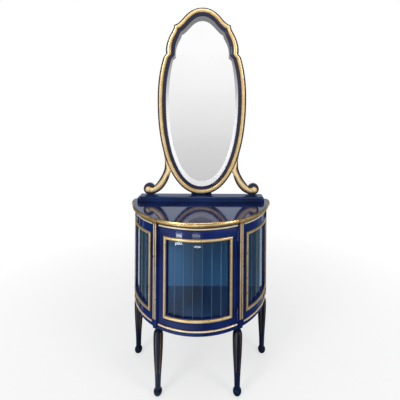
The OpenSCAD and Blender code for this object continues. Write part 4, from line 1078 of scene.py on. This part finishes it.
for names, material in (
        (("top_board",), top_lacquer), (("floor_board",), floor_paint), (("back_panel",), inside_paint),
        (("door_glazing_beads", "side_glazing_beads_left", "side_glazing_beads_right"), bead_paint_with_painted_shade),
        (("hinge_leaves_post", "hinge_leaves_door", "hinge_pins"), painted_metal),
        (("hinge_screws_post", "hinge_screws_door", "ball_catch", "catch_strike", "strap_screws"), brass),
        (("mirror_straps", "mirror_back_board"), plain_wood)):
    for name in names:
        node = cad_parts[name]
        node.data.materials.clear()
        node.data.materials.append(material)

# Floor and surroundings, in metres

FLOOR_Z = -0.0004
FLOOR_GLOW = 0.62
WHITE = (1.0, 1.0, 1.0)
# (distance, grey) of the floor in front, as reflections see it
FLOOR_SHEET = ((1.5, 0.05), (2.02, 0.05), (2.12, 1.0), (2.7, 1.0), (3.1, 0.60), (3.8, 0.61), (4.2, 0.62),
               (6.5, 0.671), (11.8, 0.73), (14.0, 0.757))
# (angle from the front, grey) of the rays on the floor that only reflections see
FLOOR_RAYS = (
    (-180, 0.10), (-165, 0.10), (-151, 0.10), (-149, 1.0), (-145, 1.0), (-143, 0.06), (-132.4, 0.10),
    (-132.1, 0.75), (-129, 0.75), (-126, 0.05), (-116.0, 0.10), (-115.7, 0.8), (-112, 0.8), (-110, 0.08),
    (-93, 0.06), (-75, 0.12), (-62, 0.60), (-45, 1.0), (-18, 0.90), (-6, 0.60), (5, 0.45), (10, 0.12),
    (32, 0.18), (45, 0.10), (107, 0.16), (115, 0.22), (125, 0.45), (127.2, 0.40), (128, 0.20), (140, 0.85),
    (144, 0.85), (148, 0.06))
# small bright patches that the door's glass and top rail mirror like window panes: foot point,
# two angles and two distances from it, strength
WINDOW_PANES = ((0.684, 0.937, -36.1, -34.9, 2.90, 2.97, 21), (0.072, 1.152, -4.0, -2.7, 2.822, 2.864, 19),
                (0.0, 0.182, -35.8, -26.5, 2.09, 2.163, 24), (0.0, 0.182, -10.7, 0.9, 2.119, 2.162, 17))
# (rise over distance, grey) of the bright window in front and of the wall at its left and right
WINDOW = ((-0.08, 0.755), (-0.04, 0.80), (0.0, 0.84), (0.1, 0.933), (0.2, 1.0), (0.34, 1.0), (0.38, 0.25),
          (1.2, 0.15))
LEFT_WALL = ((-0.08, 0.755), (0.0, 0.80), (0.15, 0.5), (0.3, 0.30), (1.4, 0.15))
RIGHT_WALL = ((-0.08, 0.755), (0.0, 0.70), (0.15, 0.42), (0.3, 0.25), (1.4, 0.15))
# (angle from the front, grey) of the soft bands round the room
ROOM_BANDS = (
    (-180, 0.05), (-150, 0.5), (-140, 0.04), (-110, 0.04), (-98, 0.6), (-86, 0.05), (-62, 0.10),
    (-45, 0.75), (-36, 0.75), (-30, 0.3), (30, 0.2), (42, 0.45), (52, 0.05), (80, 0.05), (90, 0.5),
    (100, 0.05), (135, 0.05), (147, 0.5), (160, 0.05), (180, 0.05))


def angle_from(tree, x, y, foot_x, foot_y):
    """The steps in x and y from a foot point, and the angle between them and the front."""
    dx, dy = worked(tree, "SUBTRACT", x, foot_x), worked(tree, "SUBTRACT", foot_y, y)
    return dx, dy, worked(tree, "ARCTAN2", dx, dy)


def pane(tree, x, y, foot_x, foot_y, a1, a2, r1, r2):
    """1 on the part of the floor between two angles and two distances from a foot point, else 0."""
    dx, dy, angle = angle_from(tree, x, y, foot_x, foot_y)
    squares = worked(tree, "ADD", worked(tree, "MULTIPLY", dx, dx), worked(tree, "MULTIPLY", dy, dy))
    mask = 1.0
    for value, low, high in ((angle, math.radians(a1), math.radians(a2)),
                             (worked(tree, "SQRT", squares), r1, r2)):
        between = worked(tree, "COMPARE", value, (low + high) / 2, (high - low) / 2)
        mask = worked(tree, "MULTIPLY", mask, between)
    return mask


def reflected_floor(tree, coords, away):
    """What reflections see of the floor: a bright sheet in front with grey beyond it, pale rays at
    the sides, and the small window panes. Gives its colour and its strength."""
    x, y, _ = parts_of(tree, coords)
    beside = spread(tree, y, -0.75, 0.0, 0.0, 1.0)
    foot_x = worked(tree, "MULTIPLY", spread(tree, x, -0.28, 0.28, -0.28, 0.28), beside)
    foot_y = spread(tree, beside, 0.0, 1.0, -0.15, 0.0)
    angle = angle_from(tree, x, y, foot_x, foot_y)[2]
    sideways = worked(tree, "ABSOLUTE", angle)
    tint = ramp(tree, spread(tree, sideways, 1.40, 1.55, 0.0, 1.0),
                [(0.0, (0.86, 0.94, 1.0)), (1.0, (0.68, 0.88, 1.0))])
    rays = blend_colours(tree, 1.0, angle_ramp(tree, angle, FLOOR_RAYS), tint, "MULTIPLY")
    in_front = spread(tree, sideways, 1.0, 1.4, 1.0, 0.0)
    far = spread(tree, away, 2.03, 2.10, 0.0, 1.0)
    colour = blend_colours(tree, worked(tree, "MULTIPLY", in_front, far), rays,
                           grey_ramp(tree, away, FLOOR_SHEET))
    panes, strength = 0.0, 1.0
    for *where, power in WINDOW_PANES:
        lit = pane(tree, x, y, *where)
        panes = worked(tree, "MAXIMUM", panes, lit)
        strength = worked(tree, "ADD", strength, worked(tree, "MULTIPLY", lit, power))
    return blend_colours(tree, panes, colour, (0.90, 0.95, 1.0)), strength


def floor():
    """A pale floor: diffuse near the object, so that it holds the shadow, and plain white light
    further out, where it meets the white surroundings without a line."""
    r = np.array([0.6, 1.2, 1.8, 2.4, 3.0, 4.0, 7.0, 14.0])[:, None]
    a = np.radians(np.arange(0, 360, 5))[None, :]
    x, y = r * np.cos(a), r * np.sin(a)
    grid = np.stack([x, y, np.full(x.shape, FLOOR_Z)], -1)
    nu, nv = x.shape
    mesh = bpy.data.meshes.new("pale floor")
    mesh.from_pydata(grid.reshape(-1, 3).tolist(), [],
                     ring_faces(nu, nv, False, True)[:, ::-1].tolist() + [list(range(nv))])
    piece = bpy.data.objects.new("pale_floor", mesh)
    bpy.context.scene.collection.objects.link(piece)
    m, tree, shader = new_material("pale floor")
    feed(tree, shader, {"Base Color": (0.78, 0.78, 0.78), "Roughness": 0.6, "Specular IOR Level": 0.15})
    path = tree.nodes.new("ShaderNodeLightPath").outputs
    coords = object_coords(tree)
    length = tree.nodes.new("ShaderNodeVectorMath")
    length.operation = "LENGTH"
    tree.links.new(coords, length.inputs[0])
    away = length.outputs["Value"]
    colour, strength = reflected_floor(tree, coords, away)
    by_camera = path["Is Camera Ray"]
    strength = worked(tree, "MULTIPLY", strength, worked(tree, "SUBTRACT", 1.0, by_camera))
    glow = tree.nodes.new("ShaderNodeEmission")
    feed(tree, glow, {"Color": blend_colours(tree, by_camera, colour, WHITE),
                      "Strength": worked(tree, "MAXIMUM", strength, 1.0)})
    mirrored = worked(tree, "MAXIMUM", path["Is Glossy Ray"], path["Is Transmission Ray"])
    glowing = blend_values(tree, by_camera, mirrored, spread(tree, away, 0.7, 1.9, FLOOR_GLOW, 1.0))
    show(tree, mix_shaders(tree, glowing, shader.outputs[0], glow.outputs[0]))
    mesh.materials.append(m)


def background(tree, colour, strength):
    """Light of one colour from all round."""
    b = tree.nodes.new("ShaderNodeBackground")
    feed(tree, b, {"Color": colour, "Strength": strength})
    return b.outputs[0]


def surroundings():
    """White to the camera. Reflections see a bright window in front, grey walls at its left and
    right, and a dark room with a few soft bright bands round the sides and behind."""
    world = bpy.data.worlds.new("studio")
    bpy.context.scene.world = world
    world.use_nodes = True
    tree = world.node_tree
    tree.nodes.clear()
    path = tree.nodes.new("ShaderNodeLightPath").outputs
    x, y, z = parts_of(tree, tree.nodes.new("ShaderNodeTexCoord").outputs["Generated"])
    forward = worked(tree, "MULTIPLY", y, -1.0)
    ahead = worked(tree, "MAXIMUM", forward, 0.02)
    across, rise = worked(tree, "DIVIDE", x, ahead), worked(tree, "DIVIDE", z, ahead)
    front = blend_colours(tree, spread(tree, across, -0.25, -0.21, 1.0, 0.0),
                          grey_ramp(tree, rise, WINDOW), grey_ramp(tree, rise, LEFT_WALL))
    front = blend_colours(tree, spread(tree, across, 0.13, 0.16, 0.0, 1.0), front,
                          grey_ramp(tree, rise, RIGHT_WALL))
    bands = angle_ramp(tree, worked(tree, "ARCTAN2", x, forward), ROOM_BANDS)
    bands = blend_colours(tree, spread(tree, z, 0.5, 0.85, 0.0, 1.0), bands, (0.15, 0.15, 0.16))
    seen = blend_colours(tree, spread(tree, y, -0.80, -0.72, 1.0, 0.0), bands, front)
    seen = blend_colours(tree, spread(tree, y, 0.80, 0.88, 0.0, 1.0), seen, (0.80, 0.90, 1.0))
    mirrored = worked(tree, "MAXIMUM", path["Is Glossy Ray"], path["Is Transmission Ray"])
    room = mix_shaders(tree, mirrored, background(tree, (0.95, 0.97, 1.0), 0.5),
                       background(tree, seen, 1.0))
    out = tree.nodes.new("ShaderNodeOutputWorld")
    tree.links.new(mix_shaders(tree, path["Is Camera Ray"], room, background(tree, WHITE, 1.0)),
                   out.inputs["Surface"])


floor()
surroundings()

# Lamps and camera, in metres

CAMERA_PLACE = (0.0721, -1.4586, 1.3065)
CAMERA_YAW, CAMERA_ROLL = -0.009, 0.007
SENSOR_MM, LENS_MM = 36, 26.88
SHIFT_X, SHIFT_Y = -0.0448, -0.2258


def soft_box(name, where, target, size, power):
    """A square lamp that points at a target."""
    data = bpy.data.lights.new(name, "AREA")
    data.shape = "SQUARE"
    data.size = size
    data.energy = power
    lamp = bpy.data.objects.new(name, data)
    lamp.location = where
    lamp.rotation_euler = (Vector(target) - Vector(where)).to_track_quat("-Z", "Y").to_euler()
    bpy.context.scene.collection.objects.link(lamp)


def camera():
    """A level camera whose picture is shifted down, so that uprights stay parallel."""
    data = bpy.data.cameras.new("camera")
    data.sensor_width = SENSOR_MM
    data.lens = LENS_MM
    data.shift_x = SHIFT_X
    data.shift_y = SHIFT_Y
    piece = bpy.data.objects.new("camera", data)
    level = Matrix.Rotation(math.pi / 2, 4, "X")
    piece.matrix_world = (Matrix.Translation(CAMERA_PLACE) @ Matrix.Rotation(CAMERA_YAW, 4, "Z") @ level
                          @ Matrix.Rotation(CAMERA_ROLL, 4, "Z"))
    bpy.context.scene.collection.objects.link(piece)
    bpy.context.scene.camera = piece


soft_box("soft box above left", (-1.6, -1.9, 2.6), (0, 0, 0.7), 0.9, 42)
soft_box("soft box above right", (1.9, -1.5, 2.4), (0, 0, 0.6), 0.8, 24)
soft_box("soft box overhead", (0.1, -0.4, 3.3), (0, 0, 0.5), 1.6, 26)
camera()
bpy.context.scene.view_settings.view_transform = "Standard"

bpy.context.view_layer.update()
